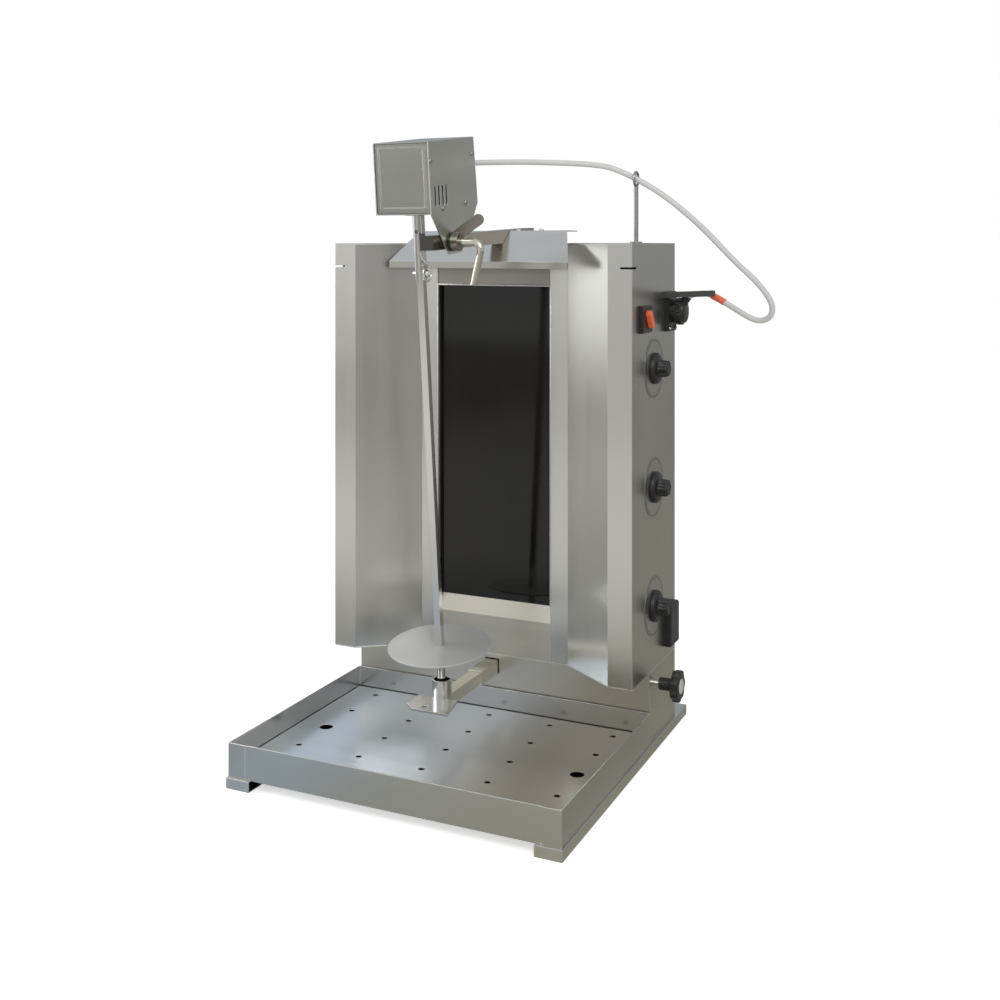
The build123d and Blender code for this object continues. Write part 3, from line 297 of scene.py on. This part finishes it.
def skin(name, grids, material, body, slot, *nodes):
    """One closed mesh from grids of points, each running round its second direction, capped at both ends of the
    first one and turned outwards. It rides on a body, and may stand for CAD nodes."""
    points, faces, start = [], [], 0
    for grid in grids:
        rows, columns = grid.shape[:2]
        index = start + np.arange(rows * columns).reshape(rows, columns)
        beside = np.roll(index, -1, axis=1)
        quads = np.stack([index[:-1], beside[:-1], beside[1:], index[1:]], axis=-1).reshape(-1, 4)
        faces += quads.tolist() + [index[0].tolist(), index[-1].tolist()]
        points.append(grid.reshape(-1, 3))
        start += rows * columns
    mesh = bpy.data.meshes.new(name)
    mesh.from_pydata(np.concatenate(points).tolist(), [], faces)
    shell = bmesh.new()
    shell.from_mesh(mesh)
    bmesh.ops.recalc_face_normals(shell, faces=shell.faces)
    shell.to_mesh(mesh)
    shell.free()
    mesh.shade_smooth()
    mesh.set_sharp_from_angle(angle=math.radians(40))
    mesh.materials.append(material)
    piece = stood(name, mesh)
    if body:
        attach(piece, body)
    if nodes:
        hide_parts(*nodes)
    return piece


def window_bead(half_width, low, high, front, breadth, height):
    """Half-round bead along an upright, the head and the other upright: a flattened circle at each corner, pushed
    out along the mitre by its own breadth."""
    turn = full_turn(16)
    out = breadth * np.cos(turn)
    side = np.array([-1, -1, 1, 1])[:, None]
    level = np.array([low, high, high, low])[:, None]
    rise = np.array([0, 1, 1, 0])[:, None]
    x = side * (half_width + out)
    y = np.broadcast_to(front - height * np.sin(turn), x.shape)
    return at(*np.stack([x, y, level + rise * out], axis=-1))


bead_steel = sheet_steel("bead_steel", (0.60, 0.60, 0.57), 0.22, along_z)
reveal_steel = sheet_steel("reveal_steel", (0.22, 0.215, 0.195), 0.40, along_z, metallic=0.3)
bead = window_bead(half_width=96.5, low=206, high=694, front=62.2, breadth=1.3, height=1.0)
reveal = window_bead(half_width=97, low=206, high=694.5, front=66.9, breadth=0.5, height=4.9)
skin("window_bead", [bead], bead_steel, "root", "polished_steel")
skin("window_reveal", [reveal], reveal_steel, "root", "brushed_steel")

# Heat glass
# A dark ceramic pane of 4 mm that lets heat through and hides the heaters. It is glossy, with a faint brown
# cast and soft upright smears from wiping.
glass, tree, shader, place = blank("dark_glass")
smears = group(tree, mill_grain, Coordinates=place, Stretch=(60, 60, 2))
smeared = spread(tree, smears.outputs["Shade"], 0.0, 1.0)
link(
    tree,
    (mixed(tree, smeared, (0.003, 0.003, 0.0025), (0.012, 0.011, 0.009)), shader.inputs["Base Color"]),
    (spread(tree, smears.outputs["Gloss"], 0.04, 0.10), shader.inputs["Roughness"]),
)
shader.inputs["IOR"].default_value = 1.4
dress(glass, "heat_glass")

# Heater tray and heaters
# A bright folded reflector box behind the glass, and one bent steel-cased rod for each zone, blued by heat and
# held in the box.
dress(sheet_steel("reflector_steel", (0.5, 0.49, 0.46), 0.22, along_x), "heater_tray")
heater_steel = sheet_steel("heater_steel", (0.12, 0.105, 0.1), 0.45, along_x)
dress(heater_steel, "heater_bottom", "heater_middle", "heater_top")

# Visor
# A hood of folded sheet over the window, with a lip in front and a flange that is bolted down behind. It is
# ground finer than the walls, and painted darker on its lip, below the lip's top edge.


def darkened_along(material, axis, unchanged_at, dark, colour):
    """Darken a finish along one axis of the Object coordinates, from the place where it is unchanged to its dark
    one.
    """
    tree = material.node_tree
    base = tree.nodes["Principled BSDF"].inputs["Base Color"]
    split = tree.nodes.new("ShaderNodeSeparateXYZ")
    share = mapped(tree, split.outputs[axis], (unchanged_at, dark), (0.0, 1.0), "SMOOTHSTEP")
    link(
        tree,
        (tree.nodes["Texture Coordinate"].outputs["Object"], split.inputs[0]),
        (mixed(tree, share, base.links[0].from_socket, colour), base),
    )
    return material


visor_steel = sheet_steel("visor_steel", (0.63, 0.60, 0.56), 0.22, along_x)
dress(darkened_along(visor_steel, "Z", unchanged_at=0.7318, dark=0.7300, colour=(0.42, 0.41, 0.375)), "hood_visor")

# Upper arm, saddle, sleeve and lower arm
# Square stainless tube with a satin finish from a belt, cut to length and set in its saddle or sleeve. It is a
# little warm in tone, and the upper arm is painted dark towards its front end, where it goes in between the
# plates of the head: painted shade.
arm_finish = ((0.47, 0.45, 0.41), 0.22, along_y, 0.0016)
dress(sheet_steel("tube_steel", *arm_finish), "arm_saddle")
lower_tube_steel = sheet_steel("lower_tube_steel", (0.88, 0.85, 0.765), 0.32, along_y)
dress(lower_tube_steel, "lower_arm_sleeve", "lower_arm_tube")
arm_painted_shade = sheet_steel("arm_painted_shade", *arm_finish)
# The front end of the upper arm is painted dark: painted shade between the head's side plates.
dress(darkened_along(arm_painted_shade, "Y", unchanged_at=-0.085, dark=-0.112, colour=(0.10, 0.095, 0.085)), "upper_arm")

# Pivot bolt and clamp lever
# A turned and bent bright bar on which the head tilts, and a hub with one flat paddle that locks it, with a
# black washer between the hub and the head.
bright_steel = sheet_steel("bright_steel", (0.66, 0.65, 0.63), 0.16, along_z, edge=0.0007)
lever_steel = sheet_steel("lever_steel", (0.26, 0.24, 0.205), 0.32, along_x)
handle_steel = sheet_steel("handle_steel", (0.66, 0.635, 0.565), 0.17, along_z, edge=0.0005)
dress(handle_steel, "pivot_bolt")
dress(bright_steel, "clamp_screw")
dress(lever_steel, "clamp_lever")


def turned(places, radii, centre, cuts=0.0, lobes=0, turns=48, axes=np.eye(3)):
    """Turned piece: a ring at each place along its axis, whose radius is drawn in between its lobes by the cut
    times the square of the sine of half the lobe angle. The rows of axes are its axis and the two across it."""
    turn = full_turn(turns)
    cut = np.broadcast_to(np.asarray(cuts, float), np.shape(radii))
    radius = np.asarray(radii, float)[:, None] - cut[:, None] * np.sin(lobes * turn / 2) ** 2
    along = np.broadcast_to(np.asarray(places, float)[:, None], radius.shape)
    rings = np.stack([along, radius * np.cos(turn), radius * np.sin(turn)], axis=-1)
    return rings @ axes / 1000 + at(*centre)


# Black plastics are moulded from phenolic or nylon with a fine spark texture, and carry a painted highlight on
# their rounded edges.
def moulded(name, colour, roughness, grain=900, depth=0.08, edge=0.0006, mottle=0.6):
    """Moulded plastic: a fine even grain in relief and gloss, with a painted highlight on its rounded edges, if
    it has any.
    """
    material, tree, shader, place = blank(name)
    speck = noise(tree, place, scale=grain, detail=2)
    patch = noise(tree, place, scale=30, detail=3)
    face = mixed(tree, spread(tree, patch, 0.0, mottle), colour, toned(colour, 1.3, lift=0.01))
    normal = None
    if edge:
        rim = group(tree, rounded_edge_highlight, Radius=edge)
        # The edges are painted paler than the face: a painted highlight.
        face = mixed(tree, rim.outputs["Edge"], face, toned(colour, 1.4, lift=0.03))
        normal = rim.outputs["Normal"]
    link(
        tree,
        (face, shader.inputs["Base Color"]),
        (spread(tree, patch, roughness - 0.06, roughness + 0.08), shader.inputs["Roughness"]),
    )
    relief(tree, shader, speck, normal, strength=depth, distance=0.0003)
    return material


black_plastic = moulded("black_plastic", (0.009, 0.009, 0.008), 0.32)
washer = turned(places=(33.2, 33.3, 36.2, 36.4), radii=(12.9, 13.3, 13.3, 12.9), centre=(0, -144.3, 760.65))
skin("lever_washer", [washer], black_plastic, "head_clamp", "black_plastic")

# Head of the motor
# A folded shell with a set-in front panel, satin ground across, and two side plates with vent slots. It hides a
# gear motor painted black, and pan-head screws hold the plates.
# The shell and front panel carry a strong painted highlight on their edges.
head_steel = sheet_steel("head_steel", (0.38, 0.38, 0.355), 0.32, along_x, edge=0.0022, edge_highlight=2.5)
plate_steel = sheet_steel("plate_steel", (0.61, 0.61, 0.56), 0.32, along_y)
screw_steel = sheet_steel("screw_steel", (0.36, 0.36, 0.345), 0.34, along_x, edge=0.0004)
dress(head_steel, "head_shell", "head_front_panel")
dress(plate_steel, "head_side_left", "head_side_right")
dress(moulded("motor_paint", (0.012, 0.012, 0.012), 0.45, grain=300), "gear_motor")
lean = math.radians(6)
head_axes = np.array([(1, 0, 0), (0, math.cos(lean), math.sin(lean)), (0, -math.sin(lean), math.cos(lean))])
head_origin = np.array([-10, -162.2, 801])
head_half = 43
head_holes = ((-36.96, 72.27), (91.14, 77.22), (-7.14, 5.94), (63.7, 8.91))


def pan_screw(centre, axes, height=1.0, width=1.0):
    """Pan-head screw: a low dome with a round recess, seven millimetres across, times its height and width."""
    places = np.array([-0.3, 0.4, 1.2, 1.9, 2.2, 1.4, 1.4])
    radii = np.array([3.3, 3.5, 3.2, 2.4, 1.7, 1.5, 0.1])
    return turned(height * places, width * radii, centre, turns=18, axes=axes)


head_screws = [
    pan_screw(head_origin + np.array([head_half * side, back, up]) @ head_axes, np.diag([side, 1, 1]))
    for side in (-1, 1)
    for back, up in head_holes
]
skin("head_pan_screws", head_screws, screw_steel, "head", "polished_steel", "head_screws")

# Coupling, spit and disc
# Turned and polished stainless bar, scratched a little along its length by years of scraping, and a pressed
# disc on the bar that carries the meat.
dress(bright_steel, "drive_coupling", "spit_rod")
dress(sheet_steel("disc_steel", (0.60, 0.60, 0.59), 0.56, along_x, metallic=0.6), "spit_disc")

# Retaining pin
# A turned steel pin with a shoulder, held by a sprung clip bent from hard wire: one turn and a bit round the
# pin's end, and a leg that is pinched to pull it.


def tube(path, radius, sides, reference=(0.0, 0.707, 0.707)):
    """Round wire or cable: a circle carried along a path, square to it. Its first direction is the reference
    less its share along the path, and its second one is the cross product of the two."""
    along = np.gradient(path, axis=0)
    along /= np.linalg.norm(along, axis=1, keepdims=True)
    first = np.asarray(reference) - along * (along @ np.asarray(reference))[:, None]
    first /= np.linalg.norm(first, axis=1, keepdims=True)
    second = np.cross(along, first)
    turn = full_turn(sides)[None, :, None]
    radius = np.broadcast_to(radius, len(path))[:, None, None]
    return path[:, None] + radius * (np.cos(turn) * first[:, None] + np.sin(turn) * second[:, None])


def sprung_clip(radius, pitch, overlap, lead, knee, tip):
    """Centre line of the clip: a helix about X that starts at the pin and ends an overlap past a full turn. A
    quadratic curve leaves along the helix's end by a lead and meets the knee, and a straight run ends at the
    tip."""
    turn = np.linspace(0, 2 * np.pi + overlap, 60)
    coil = np.stack([pitch * (turn / turn[-1] - 0.5), radius * np.cos(turn), radius * np.sin(turn)], axis=-1)
    ahead = coil[-1] - coil[-2]
    bend = coil[-1] + ahead / np.linalg.norm(ahead) * lead
    share = np.linspace(0, 1, 14)[1:, None]
    rise = (1 - share) ** 2 * coil[-1] + 2 * share * (1 - share) * bend + share**2 * np.asarray(knee)
    return np.concatenate([coil, rise, np.asarray(knee) + share * np.subtract(tip, knee)])


pin_axis = (0, -153.315, 716.466)
clip_radius = 10.4
clip_centre = (4.8, pin_axis[1] - clip_radius, pin_axis[2])
clip_wire = 2.44
pin = turned(places=(-23.5, -23.2, -21.5, -1.2, -1.2, -0.8, 2.4, 2.8, 2.8, 4.8),
             radii=(1.2, 1.8, 3.0, 3.0, 4.6, 5.0, 5.0, 4.6, 2.6, 2.4), centre=pin_axis, turns=24)
clip_line = sprung_clip(clip_radius, pitch=2.8, overlap=0.35, lead=8,
                        knee=(-6.9, -1.4, 20.5), tip=(-8.8, -2.9, 30.0))
clip = tube(clip_line / 1000 + at(*clip_centre), clip_wire / 2000, 10, reference=(0.94, 0.24, 0.24))
clip_steel = sheet_steel("clip_steel", (0.84, 0.84, 0.82), 0.22, along_x, edge=0.0004)
skin("pin_and_clip", [pin, clip], clip_steel, "pin", "polished_steel", "retaining_pin")

# Cup and its pull tab
# A turned pot for the foot of the spit, welded to the end of the lower arm, and a bright plate with a hole in
# front of it, by which the arm is pulled.
dress(sheet_steel("cup_steel", (0.78, 0.775, 0.745), 0.20, along_z, edge=0.0008), "spit_cup")
dress(sheet_steel("tab_steel", (0.62, 0.615, 0.59), 0.16, along_x), "cup_plate")

# Star knob
# Moulded black phenolic with seven lobes on a long boss, and a pale pressed-in cover over its nut. It turns the
# screw that locks the lower arm.
star_centre = (256.8, 103, 100)
star = turned(places=(0, 0.6, 17, 19, 20, 20.6, 22.2, 30.6, 32.4, 33.0, 33.0),
              radii=(8.6, 9.25, 9.25, 10.2, 15, 20.5, 23.6, 23.9, 22.6, 20.4, 4),
              centre=star_centre, cuts=(0, 0, 0, 0, 0.8, 2.0, 2.8, 3.0, 2.8, 2.2, 0), lobes=7, turns=112)
cover = turned(places=(32.8, 33.4, 34.0, 34.4, 34.5), radii=(11.2, 11, 9.4, 6, 1), centre=star_centre)
phenolic = moulded("knob_phenolic", (0.012, 0.0115, 0.011), 0.35, grain=700, depth=0.04)
skin("star_grip", [star], phenolic, "star_clamp", "black_plastic", "star_knob")
skin("star_cover", [cover], moulded("pale_cover", (0.55, 0.55, 0.52), 0.4), "star_clamp", "black_plastic")

# Drip tray and drip plate
# A folded open box and a loose perforated plate of 1.2 mm sheet, brighter than the cabinet. A thin film of fat
# dulls the plate. The plate's colour is painted bluish and browner towards the right: painted reflections of the
# sky and of the dark parts above it.
tray_steel = sheet_steel("tray_steel", (0.56, 0.555, 0.53), 0.22, along_x, edge=0.002)
pan_painted_reflection = sheet_steel("pan_painted_reflection", (0.69, 0.76, 0.84), 0.22, along_x, metallic=0.5)
dress(tray_steel, "drip_tray")
# The plate is painted bluish, and browner towards the right: painted reflections.
dress(darkened_along(pan_painted_reflection, "X", unchanged_at=-0.10, dark=0.12, colour=(0.40, 0.37, 0.31)), "drip_plate")

# Regulators and dial plates
# Three regulators stand behind the panel, black and never seen. In front of each lies a thin satin disc with a
# printed ring, ticks at equal turns and a darker rim.
knob_front, knob_setback, knob_level, knob_pitch = 249.1, 102, 215.3, 178
tick_reach, tick_half_length, tick_half_width = 0.0390, 0.0018, 0.0005
tick_turn = math.radians(30)
ring_reach, ring_half_width = 0.0420, 0.0006
rim_reach, rim_shade = 0.0446, 0.7
dress(black_plastic, "heat_regulators")
dial, tree, shader, place = blank("dial_print")
grain = group(tree, mill_grain, Coordinates=place, Stretch=along_z)
split = tree.nodes.new("ShaderNodeSeparateXYZ")
tree.links.new(place, split.inputs[0])
_, dial_setback, dial_level = at(knob_front, knob_setback, knob_level)
half_pitch = knob_pitch / 2000
level = maths(tree, "WRAP", maths(tree, "SUBTRACT", split.outputs["Z"], dial_level), half_pitch, -half_pitch)
aside = maths(tree, "SUBTRACT", split.outputs["Y"], dial_setback)
squares = [maths(tree, "MULTIPLY", side, side) for side in (level, aside)]
reach = maths(tree, "SQRT", maths(tree, "ADD", *squares))
step = maths(tree, "PINGPONG", maths(tree, "ARCTAN2", level, aside), tick_turn / 2)
ticks = maths(tree, "MULTIPLY", maths(tree, "COMPARE", reach, tick_reach, tick_half_length),
              maths(tree, "LESS_THAN", maths(tree, "MULTIPLY", step, reach), tick_half_width))
ink = maths(tree, "MAXIMUM", ticks, maths(tree, "COMPARE", reach, ring_reach, ring_half_width))
ink = maths(tree, "MULTIPLY_ADD", maths(tree, "GREATER_THAN", reach, rim_reach), rim_shade, ink, clamp=True)
plain = mixed(tree, spread(tree, grain.outputs["Shade"], 0.0, 1.0), (0.50, 0.50, 0.47), (0.58, 0.58, 0.55))
link(
    tree,
    (mixed(tree, ink, plain, (0.02, 0.02, 0.02)), shader.inputs["Base Color"]),
    (spread(tree, grain.outputs["Gloss"], 0.28, 0.36), shader.inputs["Roughness"]),
    (maths(tree, "SUBTRACT", 1.0, ink), shader.inputs["Metallic"]),
)
dress(dial, "dial_plates")

# Heat knobs
# Moulded black phenolic: a round skirt that covers the middle of the dial, a fluted grip, and a white line let
# into the skirt. Each is pushed onto the shaft of its regulator.


def pointer(start, end, half_width, half_height):
    """Let-in line: ellipses square to its run, that shrink at both ends by the sixth power of the distance from
    the middle."""
    share = np.linspace(0, 1, 13)[:, None]
    turn = full_turn(12)
    size = np.sqrt(np.clip(1 - (2 * share - 1) ** 6, 0.002, 1))
    run = np.asarray(start) + share * np.subtract(end, start)
    high, wide = half_height * size * np.sin(turn), half_width * size * np.cos(turn)
    across = np.stack([high, wide, np.zeros_like(high)], axis=-1)
    return (run[:, None] + across) / 1000


line_paint = moulded("line_paint", (0.75, 0.75, 0.72), 0.4)
for row, name in enumerate(("bottom", "middle", "top")):
    centre = (knob_front, knob_setback, knob_level + knob_pitch * row)
    knob = turned(places=(0, 0.5, 4.2, 6.3, 7.2, 7.5, 8.2, 9.5, 19.5, 21.4, 22.3, 22.5, 22.0, 21.9),
                  radii=(22.8, 23.5, 23.3, 21.9, 19.0, 15.2, 14.2, 13.6, 13.0, 12.4, 11.0, 9.0, 7.0, 1),
                  centre=centre, cuts=(0, 0, 0, 0, 0, 0.6, 2.0, 2.7, 3.0, 2.8, 2.0, 1.2, 0, 0), lobes=6, turns=72)
    skin(f"{name}_knob", [knob], phenolic, f"knob_{name}", "black_plastic", f"heat_knob_{name}")
    mark = pointer((5.9, 0, 22.0), (7.0, 0, 15.4), half_width=0.9, half_height=0.6) + at(*centre)
    skin(f"{name}_line", [mark], line_paint, f"knob_{name}", "black_plastic")

# Switch
# A black moulded base with a flat red lever of moulded plastic. The base is riveted to the panel, and the lever
# turns in it.
red_plastic = moulded("red_plastic", (0.92, 0.165, 0.075), 0.36)
dress(black_plastic, "switch_base")
dress(red_plastic, "switch_lever")

# Socket, plug, cable bar and inlet cover
# Black moulded housings screwed to the panel, and a plug with a ribbed ring and a ribbed elbow for its lead. The
# bar is flat steel, painted dark grey.
dress(black_plastic, "socket_housing", "mains_inlet_cover")
dress(moulded("bar_paint", (0.055, 0.055, 0.052), 0.38, grain=260), "cable_bar")
socket_front, plug_front, socket_setback, socket_level = 255.6, 261.6, 172, 654
flange_screws = [
    pan_screw((socket_front, socket_setback + beside, socket_level + above), np.eye(3), width=0.8)
    for beside in (-15.5, 15.5)
    for above in (-26, 26)
]
skin("socket_pan_screws", flange_screws, bright_steel, "root", "polished_steel")
plug_ring = turned(places=(0, 0.6, 2.4, 3.2, 4.0, 10.6, 11.4, 12.0, 14.4, 15.6, 16.0),
                   radii=(19.6, 20.6, 20.6, 19.4, 20.9, 20.9, 19.2, 17.6, 17.2, 15.8, 1),
                   centre=(plug_front, socket_setback, socket_level),
                   cuts=(0, 0, 0, 0, 1.1, 1.1, 0, 0, 0, 0, 0), lobes=28, turns=168)


def ribs(count, height):
    """Heights of ribs along a tail: two rings low and two rings high, by turns."""
    return height * (np.arange(count) // 2 % 2)


elbow_start, elbow_end = np.array([(270.5, 168, 664), (283.0, 165.1, 677.4)])
elbow_share = np.linspace(0, 1, 22)
elbow_line = elbow_start + elbow_share[:, None] * (elbow_end - elbow_start)
elbow_radius = 6.9 - 1.3 * elbow_share + ribs(len(elbow_share), 0.45)
elbow = tube(at(*elbow_line), elbow_radius / 1000, 20)
plug_rubber = moulded("plug_rubber", (0.014, 0.014, 0.013), 0.28, grain=500, depth=0.05)
plug_piece = skin("ribbed_plug", [plug_ring, elbow], plug_rubber, "root", "black_plastic", "motor_plug")

# Cable hook
# A bent wire post with an eye, of plain steel rod that has gone dull, screwed into the top. The motor's lead lies
# in the eye.
dress(sheet_steel("hook_steel", (0.40, 0.40, 0.38), 0.32, along_z, edge=0.0005), "cable_hook")

# Cable gland
# A black nylon gland with a hexagon and a ribbed tail, screwed into the back of the head. It grips the motor's
# lead and leans with the head.
tail_place = np.arange(7.0, 23.6, 0.8)
tail_radius = 8.0 - 0.14 * (tail_place - 7) + ribs(len(tail_place), 0.35)
gland = turned(places=(-0.4, 0.0, 0.6, 5.4, 6.0, 6.2, *tail_place, 24.0),
               radii=(8.4, 8.7, 9.0, 9.0, 8.7, 7.9, *tail_radius, 4.6), centre=(0, -71.27, 873.4),
               cuts=(1.1, 1.1, 1.2, 1.2, 1.1, *np.zeros(len(tail_place) + 2)), lobes=6,
               axes=head_axes[[1, 0, 2]])
skin("ribbed_gland", [gland], plug_rubber, "head", "black_plastic", "head_gland")

# Motor cable
# A round grey lead of 8.5 mm with a smooth jacket. It leaves the gland on the back of the head, lies in the eye
# of the hook, hangs out in a loop and comes back along the bar to the plug.
cable_diameter = 0.0085
cable_route = at(*np.array([
    (0, -47.4, 875.91), (0, -17.57, 879.05), (20, 4, 880.5), (60, 19, 881), (110, 31, 879.5), (170, 43, 876),
    (206, 51, 869.5), (264, 70, 836.5), (308, 86, 798.7), (335, 98, 770.5), (369, 112, 731), (396, 122, 705),
    (413, 130, 682), (419.5, 135, 665), (415, 140, 650), (401, 145, 643.5), (386, 148, 645.5), (366, 152, 656),
    (318, 160, 683), (297, 163, 682.5), (283, 165, 677.5),
]))


def cable_line(route):
    """Centre line of the cable: points along the smooth curve of order three that the route's points hold."""
    curve = bpy.data.curves.new("cable_line", "CURVE")
    curve.dimensions = "3D"
    spline = curve.splines.new("NURBS")
    spline.points.add(len(route) - 1)
    spline.points.foreach_set("co", np.c_[route, np.ones(len(route))].ravel())
    spline.order_u = 3
    spline.use_endpoint_u = True
    spline.resolution_u = 10
    holder = bpy.data.objects.new("cable_line", curve)
    mesh = bpy.data.meshes.new_from_object(holder)
    points = np.empty(3 * len(mesh.vertices))
    mesh.vertices.foreach_get("co", points)
    bpy.data.objects.remove(holder)
    bpy.data.curves.remove(curve)
    bpy.data.meshes.remove(mesh)
    return points.reshape(-1, 3)


line = cable_line(cable_route)
jacket = moulded("cable_jacket", (0.72, 0.72, 0.705), 0.38, grain=300, depth=0.004, edge=0, mottle=0.06)
motor_lead = skin("motor_lead", [tube(line, cable_diameter / 2, 20)], jacket, None, "grey_cable", "motor_cable")

# Cable sleeve
# A red heat-shrunk sleeve on the lead, where it comes up to the bar. It is slipped over the lead before the plug
# goes on.
sleeve_radius = 0.0051
sleeve_left, sleeve_right = 0.2815, 0.3052
sleeve_run = 0.09
from_plug = np.linalg.norm(np.diff(line[::-1], axis=0), axis=1).cumsum()[::-1]
across = line[:-1, 0]
held = line[:-1][(across < sleeve_right) & (across > sleeve_left) & (from_plug < sleeve_run)]
sleeve = skin("red_sleeve", [tube(held, sleeve_radius, 20)], red_plastic, "root", "red_plastic", "cable_sleeve")
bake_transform(motor_lead)

# Case screws
# Pan-head screws of bright steel that hold the visor's flange and the back. They are larger than those of the
# head.
large = {"height": 1.3, "width": 1.28}
backward = np.array([(0, 1, 0), (1, 0, 0), (0, 0, 1)])
upward = np.array([(0, 0, 1), (1, 0, 0), (0, 1, 0)])
back_half, back_face, back_middle, back_pitch = 234, 209, 439.6, 203.73
flange_setback, flange_top = 79, 778.4
back_screws = [
    pan_screw((back_half * side, back_face, back_middle + back_pitch * row), backward, **large)
    for side in (-1, 1)
    for row in (-1.5, -0.5, 0.5, 1.5)
]
visor_screws = [pan_screw((beside, flange_setback, flange_top), upward, **large) for beside in (36.5, 74)]
skin("case_pan_screws", back_screws + visor_screws, bright_steel, "root", "polished_steel", "case_screws")

# Studio
# A white floor and a white surround, pale at the left and darker behind at the right in what the metal shows,
# and two soft lamps.
floor_half = 7.0
near_edge, far_edge = -0.42, -0.92
floor_glow = 0.6
floor_mesh = bpy.data.meshes.new("studio_floor")
floor_mesh.from_pydata(
    [(floor_half * side, floor_half * back, 0) for side, back in ((-1, -1), (1, -1), (1, 1), (-1, 1))],
    [], [(0, 1, 2, 3)])
floor = stood("studio_floor", floor_mesh)
floor_paint, tree, shader, place = blank("floor_paint")
floor_mesh.materials.append(floor_paint)
seen = tree.nodes.new("ShaderNodeLightPath")
split = tree.nodes.new("ShaderNodeSeparateXYZ")
tree.links.new(place, split.inputs[0])


def floor_tones(tree, across, half_width, *stops):
    """Colours across the floor, from stops of a share of its width from left to right and a colour."""
    node = tree.nodes.new("ShaderNodeValToRGB")
    node.color_ramp.interpolation = "EASE"
    for index, (position, colour) in enumerate(stops):
        stop = node.color_ramp.elements[index] if index < 2 else node.color_ramp.elements.new(position)
        stop.position = position
        stop.color = (*colour, 1)
    tree.links.new(maths(tree, "MULTIPLY_ADD", across, 0.5 / half_width, 0.5), node.inputs[0])
    return node.outputs["Color"]


near = floor_tones(tree, split.outputs["X"], 0.5, (0.0, (0.46, 0.455, 0.43)), (0.22, (0.53, 0.63, 0.72)),
                   (0.46, (0.55, 0.56, 0.52)), (0.70, (0.57, 0.56, 0.47)), (0.78, (0.43, 0.42, 0.37)))
far = floor_tones(tree, split.outputs["X"], 2.0, (0.0, (0.62, 0.605, 0.57)), (0.18, (0.97, 0.95, 0.905)),
                  (0.33, (0.95, 0.94, 0.90)), (0.55, (0.95, 0.94, 0.90)), (0.72, (0.53, 0.515, 0.47)))
ahead = mapped(tree, split.outputs["Y"], (near_edge, far_edge), (0.0, 1.0))
floor_colour = mixed(tree, seen.outputs["Is Glossy Ray"], (0.86, 0.86, 0.86), mixed(tree, ahead, near, far))
link(
    tree,
    (floor_colour, shader.inputs["Base Color"]),
    (maths(tree, "MULTIPLY", seen.outputs["Is Camera Ray"], floor_glow), shader.inputs["Emission Strength"]),
)
shader.inputs["Roughness"].default_value = 0.9
shader.inputs["Emission Color"].default_value = (1, 1, 1, 1)

world = bpy.data.worlds.new("studio")
bpy.context.scene.world = world
world.use_nodes = True
tree = world.node_tree
background = tree.nodes["Background"]
seen = tree.nodes.new("ShaderNodeLightPath")
facing = tree.nodes.new("ShaderNodeTexCoord").outputs["Generated"]


def lobe(tree, facing, toward, outside, inside, amount):
    """Smooth patch of the surround: nothing past one angle from a direction, the whole amount inside another."""
    nearness = vector_maths(tree, "DOT_PRODUCT", "Value", facing, np.asarray(toward) / np.linalg.norm(toward))
    edges = [math.cos(math.radians(angle)) for angle in (outside, inside)]
    return mapped(tree, nearness, edges, (0.0, amount), "SMOOTHSTEP")


plain_light = 0.5
mirrored = 0.62
for toward, outside, inside, amount in (
    ((-1, -0.1, 0.02), 38, 10, 0.75),
    ((-0.34, -0.94, 0), 15, 5, 0.12),
    ((-0.62, -0.79, 0), 30, 8, 0.2),
    ((0.67, -0.743, 0), 34, 10, -0.14),
    ((0.305, 0.952, 0), 60, 15, -0.28),
    ((0, -0.2, 1), 70, 30, 0.15),
):
    mirrored = maths(tree, "ADD", mirrored, lobe(tree, facing, toward, outside, inside, amount))
straight = maths(tree, "MAXIMUM", seen.outputs["Is Camera Ray"], seen.outputs["Is Transmission Ray"])
lit = maths(tree, "MULTIPLY_ADD", straight, 1 - plain_light, plain_light)
glance = maths(tree, "MULTIPLY", seen.outputs["Is Glossy Ray"], maths(tree, "SUBTRACT", mirrored, plain_light))
cool_side = lobe(tree, facing, (-0.55, 0.6, 0.6), 70, 25, 1.0)
cool = maths(tree, "MULTIPLY", seen.outputs["Is Glossy Ray"], cool_side)
link(
    tree,
    (maths(tree, "ADD", lit, glance), background.inputs["Strength"]),
    (mixed(tree, cool, (1.0, 1.0, 1.0), (0.82, 0.91, 1.0)), background.inputs["Color"]),
)


def lamp(name, place, power):
    """A square soft lamp at a place, turned to the middle of the grill."""
    light = bpy.data.lights.new(name, "AREA")
    light.size = 1.4
    light.energy = power
    holder = stood(name, light)
    holder.location = place
    direction = Vector((0, 0, 0.45)) - Vector(place)
    holder.rotation_euler = direction.to_track_quat("-Z", "Y").to_euler()


lamp("key_lamp", (1.6, -2.2, 2.4), power=30)
lamp("left_lamp", (-2.4, -1.2, 1.6), power=22)

# Camera
# The place from which the grill was photographed: level, a little to the right, with the horizon high.
camera_data = bpy.data.cameras.new("camera")
camera_data.sensor_width = 36
camera_data.lens = 44.82
camera_data.shift_y = -0.254
camera = stood("camera", camera_data)
camera.location = (0.7814, -1.6821, 0.7547)
camera.rotation_euler = (math.radians(90), 0, math.radians(24.75))
bpy.context.scene.camera = camera
bpy.context.scene.view_settings.view_transform = "Standard"
